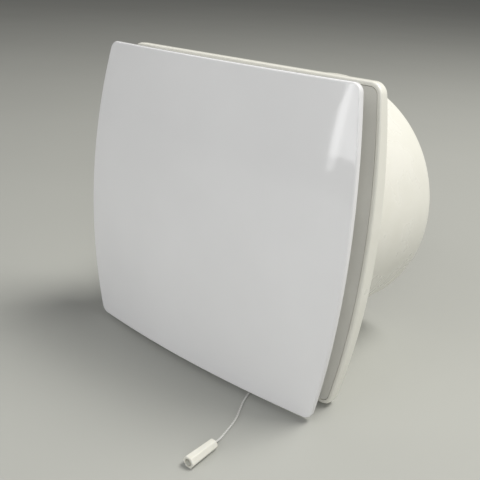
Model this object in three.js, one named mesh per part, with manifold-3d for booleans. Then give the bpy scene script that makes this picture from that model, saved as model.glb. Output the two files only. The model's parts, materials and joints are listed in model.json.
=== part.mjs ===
// A bathroom and window exhaust fan with a flat push-fit front panel, a short duct and a pull cord.
// Sizes are in millimetres. The fan is drawn with x to the right, y back through the wall and z up,
// and its duct axis at x = z = 0. It is then laid back until it rests as it does on a table.

import * as THREE from 'three';
import { mergeVertices } from 'three/addons/utils/BufferGeometryUtils.js';
import Module from 'manifold-3d';

const wasm = await Module();
wasm.setup();

// Front panel
const panelHeight = 165;
const panelWidth = 158.5; // from corner to corner
const panelBow = 8.7; // how far each long side bows out
const panelDome = 5; // rise of the front, once across and once up and down
const panelThickness = 2.9;
const panelCornerRadius = 5;
const panelEdgeRadius = 0.9;
const panelGap = 14.3; // air gap from the panel's corners back to the casing
const postRadius = 3.4;
const postPinRadius = 2.1;
const postPinLength = 9.2;
const postSideInset = 10.3; // from the casing's corners in to the posts
const postZ = 22;

// Casing and duct
const ductRadius = 74;
const casingEndMargin = 8.2; // from the duct out to the casing's top and bottom
const casingSideMargin = 5.7; // from the duct out to the casing's corners
const casingBow = 9.2;
const casingCornerRadius = 6.5;
const casingDepth = 5.4; // at the corners
const casingSideRise = 3.3; // how far the long sides come forward at their middle
const casingWall = 2.2;
const wallHoleRadius = 2.25; // for screws into the wall, behind the intake frame
const wallHoleSideInset = 17.2; // from the casing's corners
const wallHoleEndInset = 22.2;
const ductWall = 2;
const ductLength = 88.4;

// Intake frame
const frameWall = 1.8;
const frameRecess = 0.4; // below the casing's front edge
const partingGap = 0.4; // between the frame and the casing's wall
const plateauSideInset = 13.5;
const plateauEndInset = 6.5;
const plateauRise = 8.7; // in front of the casing's front corners
const riserSlope = 1.2;
const collarGap = 4.2; // between the frame's collar and the duct's bore
const mouthLip = 3;
const collarLength = 16.5;
const frameScrewSideInset = 18.5; // from the casing's corners
const frameScrewEndInset = 12.6;
const frameBossRadius = 3;

// Running and seating clearances
const seat = 0.3; // between pieces that touch
const socketClearance = 0.3;
const shaftClearance = 0.07;
const pinClearance = 0.1;
const tipGap = 2.5;

// Allowances of joined and cut shapes
const overlap = 0.5; // how far joined shapes run into each other
const clear = 1; // how far a cut runs past a face

// Impeller
const bladeCount = 7;
const hubRadius = 25;
const hubWall = 2;
const hubLength = 25;
const hubBossRadius = 5.5;
const impellerSetback = 5; // behind the frame's collar
const bladeRootChord = 24;
const bladeTipChord = 40;
const bladeRootPitch = 46; // degrees from the plane of rotation
const bladeTipPitch = 25;
const bladeRootThickness = 2.4;
const bladeTipThickness = 1.56;
const bladeCamber = 0.07;
const bladeTipSweep = 0.22; // radians

// Motor and its mount
const shaftRadius = 2;
const shaftTipLength = 3; // in front of the hub
const shaftTailLength = 1; // behind the rear bracket
const mountSetback = 3.5; // behind the impeller's hub
const mountRingLength = 12;
const mountRingWall = 2;
const mountCupRadius = 30;
const mountPlate = 2.5;
const mountCupRim = 3; // behind the plate
const vaneCount = 4;
const vaneThickness = 2.2;
const vaneLean = 8; // degrees
const ductStopDepth = 3.5;
const ductStopHeight = 1.3;
const stackWidth = 50;
const stackTop = 20;
const stackBottom = 38;
const stackLength = 18;
const statorBore = 13.6;
const airGap = 0.6;
const shadingSlotHalfWidth = 1;
const shadingSlotDepth = 2.5;
const limbWidth = 32.4;
const limbHeight = 12;
const limbInset = 1; // above the legs' ends
const windowTop = 16.5;
const bobbinWall = 1.2;
const windingCornerRadius = 4;
const windingDepth = 5.2;
const coilEndGap = 0.8; // between the bobbin and each leg
const bracketDepth = 8;
const bracketBar = 3;
const bracketWidth = 11;
const bracketOverhang = 4.5; // past the motor screws
const bracketFootRadius = 4;
const bracketBossRadius = 7;
const bearingRadius = 4.5;
const bearingLength = 5;
const motorScrewX = 20.5;
const motorScrewRadius = 1.5;
const motorScrewHeadRadius = 3;
const motorScrewHeadHeight = 2;
const motorNutRadius = 2.9;
const motorNutLength = 2;

// Wiring and pull switch, in the lower corners behind the frame
const boxSideInset = 36.2; // from the casing's corners in to the boxes' inner ends
const boxLength = 14.4;
const boxEndInset = 10.2; // from the casing's bottom edge
const boxHeight = 11;
const terminalDepth = 7.5;
const terminalPoles = 3;
const terminalPitch = 3.1;
const terminalInset = 0.4; // from the block's inner end to its first tower
const terminalTowerHeight = 2;
const terminalTowerGap = 0.7;
const terminalWellDepth = 3;
const terminalScrewSink = 0.4;
const terminalScrewHole = 1.3;
const grommetMargin = 6.4; // from the duct out to the grommet's middle
const grommetTurn = 38.4; // degrees below the level of the duct's axis
const grommetRadius = 4;
const leverArm = 8.5;
const leverTipLength = 1.6; // past the cord
const leverThickness = 2.4;
const leverHalfHeight = 1;
const leverEyeRadius = 1.5;
const leverSlotAbove = 1.6;
const leverSlotBelow = 5.4; // room for the lever's swing
const leverForkClearance = 0.35; // round the cord
const leverPinRadius = 0.9;
const leverPinFront = 0.6; // held in the slot's front wall
const leverPinBack = 1.6;
const leverPlaneY = 4.2; // in front of the casing's front corners
const eyeletBore = 1;
const eyeletRadius = 2;
const eyeletFlange = 0.7;
const eyeletFlangeWidth = 1;
const eyeletTail = 0.8; // inside the frame's wall
const screwRadius = 1.4;
const screwHeadRadius = 2.5;
const screwHeadHeight = 1.6;
const fixingHeadRadius = 1.9;
const fixingHeadHeight = 1.4;
const fixingWellDepth = 1.9;
const fixingPilotDepth = 1.5;
const fixingInset = 2.5; // from the boxes' outer ends
const boxCornerRadius = 0.8;

// Pull cord and its bell
const cordDiameter = 1;
const cordKnotRadius = 1.35;
const switchKnotRadius = 1.25;
const switchCordEnd = 1.1; // above the eyelet's mouth, so that the pulled cord slips past under it
const bellLength = 18;
const bellFrontFlats = 5.7; // across the flats of its six sides
const bellRearFlats = 4.8;
const bellBore = 3.9;
const bellBoreDepth = 12;
const bellCornerRadius = 0.9;
const bellRear = [56.5, -104.6]; // on the table, in the frame that the fan rests in
const bellTurn = 1.6; // degrees
// The cord's route, from under its eyelet down to the table and forward to the bell
const cordRoute = [
  [42, -46.42, 5.85],
  [42, -46.6, 4.3],
  [42, -47.4, 2.4],
  [41.9, -49.1, 1],
  [41.7, -51.6, 0.55],
  [41.4, -55.5, 0.55],
  [41.5, -59.4, 0.55],
  [42.6, -63.4, 0.55],
  [44.7, -69.3, 0.55],
  [47.4, -75.1, 0.55],
  [50, -80.5, 0.55],
  [52.1, -86.3, 0.55],
  [53.5, -92.2, 0.55],
  [54.8, -97.4, 0.7],
  [55.7, -100.8, 1.4],
  [56.35, -103, 2.2],
  [56.5, -104.6, 2.45],
  [56.6, -108.5, 2.5],
  [56.72, -112.4, 2.56],
];

// Sizes that follow from the duct's
const casingHeight = 2 * (ductRadius + casingEndMargin);
const casingWidth = 2 * (ductRadius + casingSideMargin);
const ductBore = ductRadius - ductWall;
const mouthRadius = ductBore - collarGap - frameWall;
const postX = casingWidth / 2 - postSideInset;
const wallHoleX = casingWidth / 2 - wallHoleSideInset;
const wallHoleZ = casingHeight / 2 - wallHoleEndInset;
const frameScrewX = casingWidth / 2 - frameScrewSideInset;
const frameScrewZ = casingHeight / 2 - frameScrewEndInset;
const grommetReach = ductRadius + grommetMargin;
const grommetX = grommetReach * Math.cos(THREE.MathUtils.degToRad(grommetTurn));
const grommetZ = grommetReach * Math.sin(THREE.MathUtils.degToRad(grommetTurn));

// Places along the duct axis, from the panel's front corners back
const casingFrontY = panelThickness + panelGap;
const wallPlaneY = casingFrontY + casingDepth;
const plateY = wallPlaneY - casingWall;
const ductEndY = wallPlaneY + ductLength;
const plateauY = casingFrontY - plateauRise;
const plateauBackY = plateauY + frameWall;
const collarEndY = plateauY + mouthLip + collarLength;
const hubFrontY = collarEndY + impellerSetback;
const hubBackY = hubFrontY + hubLength;
const mountFrontY = hubBackY + mountSetback;
const mountBackY = mountFrontY + mountRingLength;
const mountPlateBackY = mountFrontY + mountPlate;
const frontBracketY = mountPlateBackY + seat;
const stackFrontY = frontBracketY + bracketDepth + seat;
const stackBackY = stackFrontY + stackLength;
const rearBracketY = stackBackY + seat;
const rearBracketEndY = rearBracketY + bracketDepth;
const coilMiddleY = (stackFrontY + stackBackY) / 2;
const coilMiddleZ = -(stackBottom - limbInset - limbHeight / 2);
const coilHalfLength = limbWidth / 2 - coilEndGap;

// Places of the boxes in the lower corners, and of the pull cord's exit
const boxInnerX = casingWidth / 2 - boxSideInset;
const boxTopZ = casingHeight / 2 - boxEndInset - boxHeight;
const boxMiddleZ = boxTopZ + boxHeight / 2;
const boxBackY = plateY - seat;
const fixingScrewX = boxInnerX + boxLength - fixingInset;
const terminalFrontY = boxBackY - terminalDepth;
const terminalBaseY = terminalFrontY + terminalTowerHeight;
const switchFrontY = plateauBackY + seat;
const switchWellY = switchFrontY + fixingWellDepth;
const cordX = boxInnerX - 1.5;
const leverY = casingFrontY - leverPlaneY;
const leverZ = -(boxTopZ + 3);
const leverPivotX = cordX + leverArm;
const riserOuterZ = -(casingHeight / 2 - plateauEndInset);
const riserInnerZ = riserOuterZ + frameWall;
const eyeletMouthZ = riserOuterZ - eyeletFlange - seat;

const casingForm = { width: casingWidth, height: casingHeight, bow: casingBow, corner: casingCornerRadius };
const panelForm = { width: panelWidth, height: panelHeight, bow: panelBow, corner: panelCornerRadius };
const plateauForm = {
  width: casingWidth - 2 * plateauSideInset,
  height: casingHeight - 2 * plateauEndInset,
  bow: casingBow,
  corner: casingCornerRadius,
};

// Materials
const whiteGloss = new THREE.MeshStandardMaterial({ color: 0xf0f0f2, roughness: 0.12 });
const ivory = new THREE.MeshStandardMaterial({ color: 0xecebdf, roughness: 0.4 });
const ivoryInner = new THREE.MeshStandardMaterial({ color: 0xe2e1d6, roughness: 0.5 });
const greyNylon = new THREE.MeshStandardMaterial({ color: 0xc9cac6, roughness: 0.5 });
const blackNylon = new THREE.MeshStandardMaterial({ color: 0x26272a, roughness: 0.5 });
const steel = new THREE.MeshStandardMaterial({ color: 0xb8babd, roughness: 0.35, metalness: 1 });
const zincPlate = new THREE.MeshStandardMaterial({ color: 0xc4c6c8, roughness: 0.3, metalness: 1 });
const laminations = new THREE.MeshStandardMaterial({ color: 0x84868a, roughness: 0.5, metalness: 1 });
const castZinc = new THREE.MeshStandardMaterial({ color: 0xa9acb0, roughness: 0.45, metalness: 1 });
const bronze = new THREE.MeshStandardMaterial({ color: 0xa97c48, roughness: 0.45, metalness: 1 });
const copper = new THREE.MeshStandardMaterial({ color: 0xb4683a, roughness: 0.35, metalness: 1 });
const rubber = new THREE.MeshStandardMaterial({ color: 0x3a3b3d, roughness: 0.8 });
const cordWhite = new THREE.MeshStandardMaterial({ color: 0xd4d4d2, roughness: 0.6 });

// Solids

function isRealTriangle(a, b, c) {
  return a !== b && b !== c && c !== a;
}

function enclosedVolume(position, triangles) {
  const corners = [new THREE.Vector3(), new THREE.Vector3(), new THREE.Vector3()];
  let volume = 0;
  for (let i = 0; i < triangles.length; i += 3) {
    corners.forEach((corner, k) => corner.fromArray(position, 3 * triangles[i + k]));
    volume += corners[0].dot(corners[1].cross(corners[2])) / 6;
  }
  return volume;
}

function toSolid(geometry) {
  const bare = geometry.clone();
  bare.deleteAttribute('normal');
  bare.deleteAttribute('uv');
  const merged = mergeVertices(bare, 1e-4);
  const position = merged.getAttribute('position').array;
  const index = merged.getIndex().array;
  const triangles = [];
  for (let i = 0; i < index.length; i += 3) {
    const [a, b, c] = [index[i], index[i + 1], index[i + 2]];
    if (isRealTriangle(a, b, c)) triangles.push(a, b, c);
  }
  if (enclosedVolume(position, triangles) < 0) triangles.reverse();
  return new wasm.Manifold(new wasm.Mesh({
    numProp: 3,
    vertProperties: new Float32Array(position),
    triVerts: new Uint32Array(triangles),
  }));
}

function toGeometry(solid) {
  const mesh = solid.getMesh();
  const geometry = new THREE.BufferGeometry();
  geometry.setAttribute('position', new THREE.BufferAttribute(mesh.vertProperties, 3));
  geometry.setIndex(new THREE.BufferAttribute(mesh.triVerts, 1));
  geometry.computeVertexNormals();
  return geometry;
}

function join(...solids) {
  return solids.reduce((whole, solid) => whole.add(solid));
}

function cut(solid, ...tools) {
  return tools.reduce((rest, tool) => rest.subtract(tool), solid);
}

function box(lowX, highX, lowY, highY, lowZ, highZ) {
  const geometry = new THREE.BoxGeometry(highX - lowX, highY - lowY, highZ - lowZ);
  geometry.translate((lowX + highX) / 2, (lowY + highY) / 2, (lowZ + highZ) / 2);
  return toSolid(geometry);
}

// A round bar along y
function bar(radius, frontY, backY, x = 0, z = 0, sides = 12) {
  const geometry = new THREE.CylinderGeometry(radius, radius, backY - frontY, sides);
  geometry.translate(x, (frontY + backY) / 2, z);
  return toSolid(geometry);
}

// A round bar along z
function pillar(radius, lowZ, highZ, x, y, sides = 16) {
  const geometry = new THREE.CylinderGeometry(radius, radius, highZ - lowZ, sides);
  geometry.rotateX(Math.PI / 2);
  geometry.translate(x, y, (lowZ + highZ) / 2);
  return toSolid(geometry);
}

// A profile of [radius, y] turned about the duct axis
function turned(profile, sides = 48) {
  const points = profile.map(([radius, y]) => new THREE.Vector2(radius, y));
  return toSolid(new THREE.LatheGeometry(points, sides));
}

// A flat outline in x and z, thickened along y
function slab(shape, frontY, backY, steps = 3) {
  const geometry = new THREE.ExtrudeGeometry(shape, {
    depth: backY - frontY,
    bevelEnabled: false,
    curveSegments: steps,
  });
  geometry.rotateX(Math.PI / 2);
  geometry.translate(0, backY, 0);
  return toSolid(geometry);
}

function roundedRectangle(lowX, highX, lowZ, highZ, radius) {
  const shape = new THREE.Shape();
  shape.moveTo(lowX + radius, lowZ);
  shape.lineTo(highX - radius, lowZ);
  shape.absarc(highX - radius, lowZ + radius, radius, -Math.PI / 2, 0);
  shape.lineTo(highX, highZ - radius);
  shape.absarc(highX - radius, highZ - radius, radius, 0, Math.PI / 2);
  shape.lineTo(lowX + radius, highZ);
  shape.absarc(lowX + radius, highZ - radius, radius, Math.PI / 2, Math.PI);
  shape.lineTo(lowX, lowZ + radius);
  shape.absarc(lowX + radius, lowZ + radius, radius, Math.PI, 1.5 * Math.PI);
  return shape;
}

// Rings of points, one after the other, skinned into a body. A loop's last ring joins its first;
// otherwise both end rings are closed over their middle.
function skin(rings, isLoop) {
  const count = rings[0].length;
  const positions = rings.flat().flatMap((point) => point.toArray());
  const triangles = [];
  const last = isLoop ? rings.length : rings.length - 1;
  for (let r = 0; r < last; r += 1) {
    const here = r * count;
    const next = ((r + 1) % rings.length) * count;
    for (let i = 0; i < count; i += 1) {
      const j = (i + 1) % count;
      triangles.push(here + i, here + j, next + j);
      triangles.push(here + i, next + j, next + i);
    }
  }
  if (!isLoop) {
    [0, rings.length - 1].forEach((end) => {
      const middle = new THREE.Vector3();
      rings[end].forEach((point) => middle.addScaledVector(point, 1 / count));
      const centre = positions.length / 3;
      positions.push(...middle.toArray());
      for (let i = 0; i < count; i += 1) {
        const pair = [end * count + i, end * count + ((i + 1) % count)];
        if (end === 0) pair.reverse();
        triangles.push(pair[0], pair[1], centre);
      }
    });
  }
  const geometry = new THREE.BufferGeometry();
  geometry.setAttribute('position', new THREE.Float32BufferAttribute(positions, 3));
  geometry.setIndex(triangles);
  return toSolid(geometry);
}

// The fan's outline: straight top and bottom, bowed sides and rounded corners, as [x, z] points
function outline(form, inset) {
  const sideSteps = 5;
  const cornerSteps = 3;
  const endSteps = 4;
  const smallestCorner = 2;
  const half = form.height / 2;
  const sideRadius = (half * half + form.bow * form.bow) / (2 * form.bow);
  const sideCentre = form.width / 2 + form.bow - sideRadius;
  const corner = Math.max(form.corner - inset, smallestCorner);
  const cornerZ = half - inset - corner;
  const reach = sideRadius - inset - corner;
  const cornerX = sideCentre + Math.sqrt(reach * reach - cornerZ * cornerZ);
  const tangent = Math.atan2(cornerZ, cornerX - sideCentre);
  const quarter = [];
  for (let i = 0; i <= sideSteps; i += 1) {
    const angle = tangent * i / sideSteps;
    const x = sideCentre + (sideRadius - inset) * Math.cos(angle);
    quarter.push([x, (sideRadius - inset) * Math.sin(angle)]);
  }
  for (let i = 1; i <= cornerSteps; i += 1) {
    const angle = tangent + (Math.PI / 2 - tangent) * i / cornerSteps;
    quarter.push([cornerX + corner * Math.cos(angle), cornerZ + corner * Math.sin(angle)]);
  }
  for (let i = 1; i <= endSteps; i += 1) {
    quarter.push([cornerX * (1 - i / endSteps), half - inset]);
  }
  const upper = [...quarter, ...quarter.slice(0, -1).reverse().map(([x, z]) => [-x, z])];
  const lower = upper.slice(1, -1).reverse().map(([x, z]) => [x, -z]);
  return [...upper, ...lower];
}

// A circle with its points in line with those of the casing's outline
function circle(radius) {
  return outline(casingForm, 0).map(([x, z]) => {
    const angle = Math.atan2(z, x);
    return [radius * Math.cos(angle), radius * Math.sin(angle)];
  });
}

function ring(points, depth) {
  return points.map(([x, z]) => {
    const y = typeof depth === 'function' ? depth(x, z) : depth;
    return new THREE.Vector3(x, y, z);
  });
}

// The casing's front edge comes forward along its bowed sides
function casingEdgeY(z) {
  const along = 2 * z / casingHeight;
  return casingFrontY - casingSideRise * (1 - along * along);
}

// The panel's front face
function panelFaceY(x, z) {
  const across = 2 * x / panelWidth;
  const along = 2 * z / panelHeight;
  return -panelDome * (1 - across * across) - panelDome * (1 - along * along);
}

function eachCorner(make) {
  return [[-1, -1], [1, -1], [-1, 1], [1, 1]].map(([sideX, sideZ]) => make(sideX, sideZ));
}

// A pan head with a cross recess, its flat side at faceY
function panHead(radius, height, faceY, x, z) {
  const topY = faceY - height;
  const rimY = faceY - height * 0.45;
  const head = turned([[0, faceY], [radius, faceY], [radius, rimY], [radius * 0.7, topY], [0, topY]], 12);
  const long = radius * 0.6;
  const narrow = radius * 0.14;
  const floorY = faceY - height / 2;
  const across = box(-long, long, topY - clear, floorY, -narrow, narrow);
  const upright = box(-narrow, narrow, topY - clear, floorY, -long, long);
  return cut(head, across, upright).translate([x, 0, z]);
}

// Pieces

function makeFrontPanel() {
  const edge = panelEdgeRadius;
  const shares = [0.36, 0.66, 0.88];
  const face = outline(panelForm, edge);
  const scaled = (share) => face.map(([x, z]) => [x * share, z * share]);
  const front = (offset) => (x, z) => panelFaceY(x, z) + offset;
  const rings = [
    ...shares.map((share) => ring(scaled(share), front(0))),
    ring(face, front(0)),
    ring(outline(panelForm, edge * 0.3), front(edge * 0.3)),
    ring(outline(panelForm, 0), front(edge)),
    ring(outline(panelForm, 0), front(panelThickness - edge * 0.4)),
    ring(outline(panelForm, edge * 0.4), front(panelThickness)),
    ...[...shares].reverse().map((share) => ring(scaled(share), front(panelThickness))),
  ];
  const sheet = skin(rings, false);
  const posts = eachCorner((sideX, sideZ) => {
    const x = sideX * postX;
    const z = sideZ * postZ;
    const rootY = panelFaceY(postX, postZ) + panelThickness / 2;
    const footY = plateauY - seat;
    const post = bar(postRadius, rootY, footY, x, z);
    const pin = bar(postPinRadius, footY - overlap, footY + postPinLength, x, z);
    return join(post, pin);
  });
  return join(sheet, ...posts);
}

function makeCasing() {
  const edge = 0.8;
  const front = (x, z) => casingEdgeY(z);
  const rings = [
    ring(outline(casingForm, edge * 0.7), front),
    ring(outline(casingForm, 0), (x, z) => casingEdgeY(z) + edge),
    ring(outline(casingForm, 0), wallPlaneY),
    ring(circle(ductRadius), wallPlaneY),
    ring(circle(ductRadius), ductEndY - edge),
    ring(circle(ductRadius - edge * 0.5), ductEndY),
    ring(circle(ductBore), ductEndY),
    ring(circle(ductBore), plateY),
    ring(outline(casingForm, casingWall), plateY),
    ring(outline(casingForm, casingWall), front),
  ];
  const shell = skin(rings, true);
  const bossFrontY = plateauBackY + seat;
  const bosses = eachCorner((sideX, sideZ) => {
    return bar(frameBossRadius, bossFrontY, plateY + overlap, sideX * frameScrewX, sideZ * frameScrewZ);
  });
  const pilots = eachCorner((sideX, sideZ) => {
    const x = sideX * frameScrewX;
    return bar(screwRadius + seat, bossFrontY - clear, plateY - overlap, x, sideZ * frameScrewZ);
  });
  const stops = [];
  const stopX = 5;
  const stopBackY = mountFrontY - seat;
  for (let i = 0; i < vaneCount; i += 1) {
    const inner = ductBore - ductStopHeight;
    const stop = box(-stopX, stopX, stopBackY - ductStopDepth, stopBackY, inner, ductBore + overlap);
    stops.push(stop.rotate([0, 45 + 360 * i / vaneCount, 0]));
  }
  const pilotEndY = plateY + fixingPilotDepth;
  const switchPilot = bar(screwRadius + seat, plateY - clear, pilotEndY, fixingScrewX, -boxMiddleZ);
  const terminalPilot = bar(screwRadius + seat, plateY - clear, pilotEndY, -fixingScrewX, -boxMiddleZ);
  const cableHole = bar(grommetRadius, plateY - clear, wallPlaneY + clear, -grommetX, -grommetZ);
  const wallHoles = eachCorner((sideX, sideZ) => {
    return bar(wallHoleRadius, plateY - clear, wallPlaneY + clear, sideX * wallHoleX, sideZ * wallHoleZ);
  });
  const holes = [...pilots, ...wallHoles, switchPilot, terminalPilot, cableHole];
  return cut(join(shell, ...bosses, ...stops), ...holes);
}

function makeFrontFrame() {
  const outer = casingWall + partingGap;
  const stripEdge = 0.3;
  const plateauEdge = 0.8;
  const riserFoot = 0.6; // how far the strip dips where the riser starts
  const socketWall = 1.4;
  const socketFloor = 1.2;
  const strip = (offset) => (x, z) => casingEdgeY(z) + frameRecess + offset;
  const lip = (share) => mouthRadius + mouthLip * share;
  const rings = [
    ring(outline(casingForm, outer + stripEdge), strip(0)),
    ring(outline(plateauForm, -riserSlope), strip(riserFoot)),
    ring(outline(plateauForm, 0), plateauY + plateauEdge),
    ring(outline(plateauForm, plateauEdge), plateauY),
    ring(circle(lip(1)), plateauY),
    ring(circle(lip(0.3)), plateauY + mouthLip * 0.3),
    ring(circle(lip(0)), plateauY + mouthLip),
    ring(circle(mouthRadius), collarEndY),
    ring(circle(mouthRadius + frameWall), collarEndY),
    ring(circle(mouthRadius + frameWall), plateauY + mouthLip),
    ring(circle(mouthRadius + mouthLip * 0.8 + frameWall / 2), plateauBackY),
    ring(outline(plateauForm, frameWall), plateauBackY),
    ring(outline(plateauForm, frameWall - riserSlope), strip(riserFoot + frameWall)),
    ring(outline(casingForm, outer), strip(frameWall)),
    ring(outline(casingForm, outer), strip(stripEdge)),
  ];
  const shell = skin(rings, true);
  const socketBackY = plateauY + postPinLength + frameWall;
  const bore = postPinRadius + socketClearance;
  const sockets = eachCorner((sideX, sideZ) => {
    return bar(bore + socketWall, plateauY + overlap, socketBackY, sideX * postX, sideZ * postZ);
  });
  const socketBores = eachCorner((sideX, sideZ) => {
    return bar(bore, plateauY - clear, socketBackY - socketFloor, sideX * postX, sideZ * postZ);
  });
  const screwHoles = eachCorner((sideX, sideZ) => {
    const x = sideX * frameScrewX;
    return bar(screwRadius + seat, plateauY - clear, plateauBackY + clear, x, sideZ * frameScrewZ);
  });
  const outsideZ = riserOuterZ - riserSlope - clear;
  const faceRadius = eyeletRadius + eyeletFlangeWidth + 2 * seat;
  const eyeletHole = pillar(eyeletRadius + seat, outsideZ, riserInnerZ + clear, cordX, leverY, 16);
  const eyeletFace = pillar(faceRadius, outsideZ, riserOuterZ, cordX, leverY, 20);
  return cut(join(shell, ...sockets), ...socketBores, ...screwHoles, eyeletHole, eyeletFace);
}

function makeFrameScrew(sideX, sideZ) {
  const x = sideX * frameScrewX;
  const z = sideZ * frameScrewZ;
  const seatY = plateauY - seat;
  const head = panHead(screwHeadRadius, screwHeadHeight, seatY, x, z);
  return join(head, bar(screwRadius, seatY - overlap, plateY - overlap - seat, x, z, 12));
}

// One blade as a row of aerofoil sections from the hub to the tip
function makeBlade(middleY) {
  const sections = 5;
  const chordSteps = 5;
  const rootRadius = hubRadius - hubWall * 0.6;
  const tipRadius = ductBore - tipGap;
  const rings = [];
  for (let s = 0; s <= sections; s += 1) {
    const share = s / sections;
    const radius = rootRadius + (tipRadius - rootRadius) * share;
    const chord = bladeRootChord + (bladeTipChord - bladeRootChord) * share ** 0.8;
    const pitch = THREE.MathUtils.degToRad(bladeRootPitch + (bladeTipPitch - bladeRootPitch) * share);
    const thick = bladeRootThickness + (bladeTipThickness - bladeRootThickness) * share;
    const sweep = bladeTipSweep * share * share;
    const upper = [];
    const lower = [];
    for (let i = 0; i <= chordSteps; i += 1) {
      const along = (1 - Math.cos(Math.PI * i / chordSteps)) / 2;
      const camber = bladeCamber * chord * 4 * along * (1 - along);
      const half = thick * (0.18 + 1.3 * Math.sqrt(along) * (1 - along)) / 2;
      upper.push([(along - 0.5) * chord, camber + half]);
      lower.push([(along - 0.5) * chord, camber - half]);
    }
    const section = [...upper, ...lower.reverse()];
    rings.push(section.map(([u, v]) => {
      const tangential = u * Math.cos(pitch) - v * Math.sin(pitch);
      const axial = u * Math.sin(pitch) + v * Math.cos(pitch);
      const angle = tangential / radius + sweep;
      return new THREE.Vector3(radius * Math.sin(angle), middleY + axial, radius * Math.cos(angle));
    }));
  }
  return skin(rings, false);
}

function makeImpeller() {
  const noseRadius = 5;
  const nose = [];
  const noseSteps = 3;
  for (let i = 0; i <= noseSteps; i += 1) {
    const angle = Math.PI / 2 * i / noseSteps;
    const radius = hubRadius - noseRadius + noseRadius * Math.sin(angle);
    nose.push([radius, hubFrontY + noseRadius * (1 - Math.cos(angle))]);
  }
  const inner = hubRadius - hubWall;
  const innerCorner = 2;
  const floorY = hubFrontY + hubWall;
  const bossEndY = hubBackY - hubWall;
  const boreRadius = shaftRadius + seat;
  const hubSideCount = 28;
  const hub = turned([
    [boreRadius, hubFrontY],
    ...nose,
    [hubRadius, hubBackY],
    [inner, hubBackY],
    [inner, hubFrontY + noseRadius],
    [inner - innerCorner, floorY],
    [hubBossRadius, floorY],
    [hubBossRadius, bossEndY],
    [boreRadius, bossEndY],
    [boreRadius, hubFrontY],
  ], hubSideCount);
  const bladeSetback = 1;
  const blade = makeBlade((hubFrontY + hubBackY) / 2 + bladeSetback);
  const endY = hubBackY + clear;
  const hollow = turned([[0, floorY], [inner, floorY], [inner, endY], [0, endY]], hubSideCount);
  const trimmed = cut(blade, hollow);
  const blades = [];
  for (let i = 0; i < bladeCount; i += 1) {
    blades.push(trimmed.rotate([0, 360 * i / bladeCount, 0]));
  }
  return join(hub, ...blades);
}

function makeImpellerClip() {
  const outerRadius = 4.6;
  const thickness = 1;
  const backY = hubFrontY - seat;
  const plate = bar(outerRadius, backY - thickness, backY);
  const bore = bar(shaftRadius + seat, backY - thickness - clear, backY + clear);
  const notchReach = shaftRadius + 1.2;
  const notchHalf = 0.4;
  const notches = [0, 90, 180, 270].map((turn) => {
    const notch = box(-notchHalf, notchHalf, backY - thickness - clear, backY + clear, 0, notchReach);
    return notch.rotate([0, turn, 0]);
  });
  return cut(plate, bore, ...notches);
}

function makeMotorShaft() {
  const tipY = hubFrontY - shaftTipLength;
  const endY = rearBracketEndY + shaftTailLength;
  const chamfer = 0.5;
  return turned([
    [0, tipY],
    [shaftRadius - chamfer, tipY],
    [shaftRadius, tipY + chamfer],
    [shaftRadius, endY - chamfer],
    [shaftRadius - chamfer, endY],
    [0, endY],
  ], 24);
}

function makeRotor() {
  const overhang = 1;
  const endRing = 2.5;
  const outerRadius = statorBore - airGap;
  const ringStep = 1.2;
  const ringRadius = outerRadius - ringStep;
  const bore = shaftRadius + seat;
  const frontY = stackFrontY - overhang;
  const backY = stackBackY + overhang;
  return turned([
    [bore, frontY],
    [ringRadius, frontY],
    [ringRadius, frontY + endRing],
    [outerRadius, frontY + endRing],
    [outerRadius, backY - endRing],
    [ringRadius, backY - endRing],
    [ringRadius, backY],
    [bore, backY],
    [bore, frontY],
  ], 24);
}

function makeStatorStack() {
  const legInner = limbWidth / 2 + seat;
  const half = stackWidth / 2;
  const corner = 4;
  const shape = new THREE.Shape();
  shape.moveTo(-half, -stackBottom);
  shape.lineTo(-legInner, -stackBottom);
  shape.lineTo(-legInner, -windowTop);
  shape.lineTo(legInner, -windowTop);
  shape.lineTo(legInner, -stackBottom);
  shape.lineTo(half, -stackBottom);
  shape.lineTo(half, stackTop - corner);
  shape.absarc(half - corner, stackTop - corner, corner, 0, Math.PI / 2);
  shape.lineTo(-half + corner, stackTop);
  shape.absarc(-half + corner, stackTop - corner, corner, Math.PI / 2, Math.PI);
  shape.lineTo(-half, -stackBottom);
  const bore = new THREE.Path();
  bore.absarc(0, 0, statorBore, 0, 2 * Math.PI, true);
  shape.holes.push(bore);
  [-motorScrewX, motorScrewX].forEach((x) => {
    const hole = new THREE.Path();
    hole.absarc(x, 0, motorScrewRadius + seat, 0, 2 * Math.PI, true);
    shape.holes.push(hole);
  });
  const stack = slab(shape, stackFrontY, stackBackY, 12);
  const slots = [45, 225].map((turn) => {
    const slot = box(-shadingSlotHalfWidth, shadingSlotHalfWidth, stackFrontY - clear, stackBackY + clear,
      statorBore - clear, statorBore + shadingSlotDepth);
    return slot.rotate([0, turn, 0]);
  });
  return cut(stack, ...slots);
}

function makeCoilCore() {
  const half = limbHeight / 2;
  return box(-limbWidth / 2, limbWidth / 2, stackFrontY, stackBackY, coilMiddleZ - half, coilMiddleZ + half);
}

// A block round the coil's core, as deep as the core plus a margin on each side
function coilBlock(halfLength, margin, corner) {
  const halfY = stackLength / 2 + margin;
  const halfZ = limbHeight / 2 + margin;
  const shape = roundedRectangle(-halfY, halfY, -halfZ, halfZ, corner);
  const geometry = new THREE.ExtrudeGeometry(shape, {
    depth: 2 * halfLength,
    bevelEnabled: false,
    curveSegments: 2,
  });
  geometry.translate(0, 0, -halfLength);
  const turn = new THREE.Matrix4();
  turn.makeBasis(new THREE.Vector3(0, 1, 0), new THREE.Vector3(0, 0, 1), new THREE.Vector3(1, 0, 0));
  geometry.applyMatrix4(turn);
  geometry.translate(0, coilMiddleY, coilMiddleZ);
  return toSolid(geometry);
}

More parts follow.
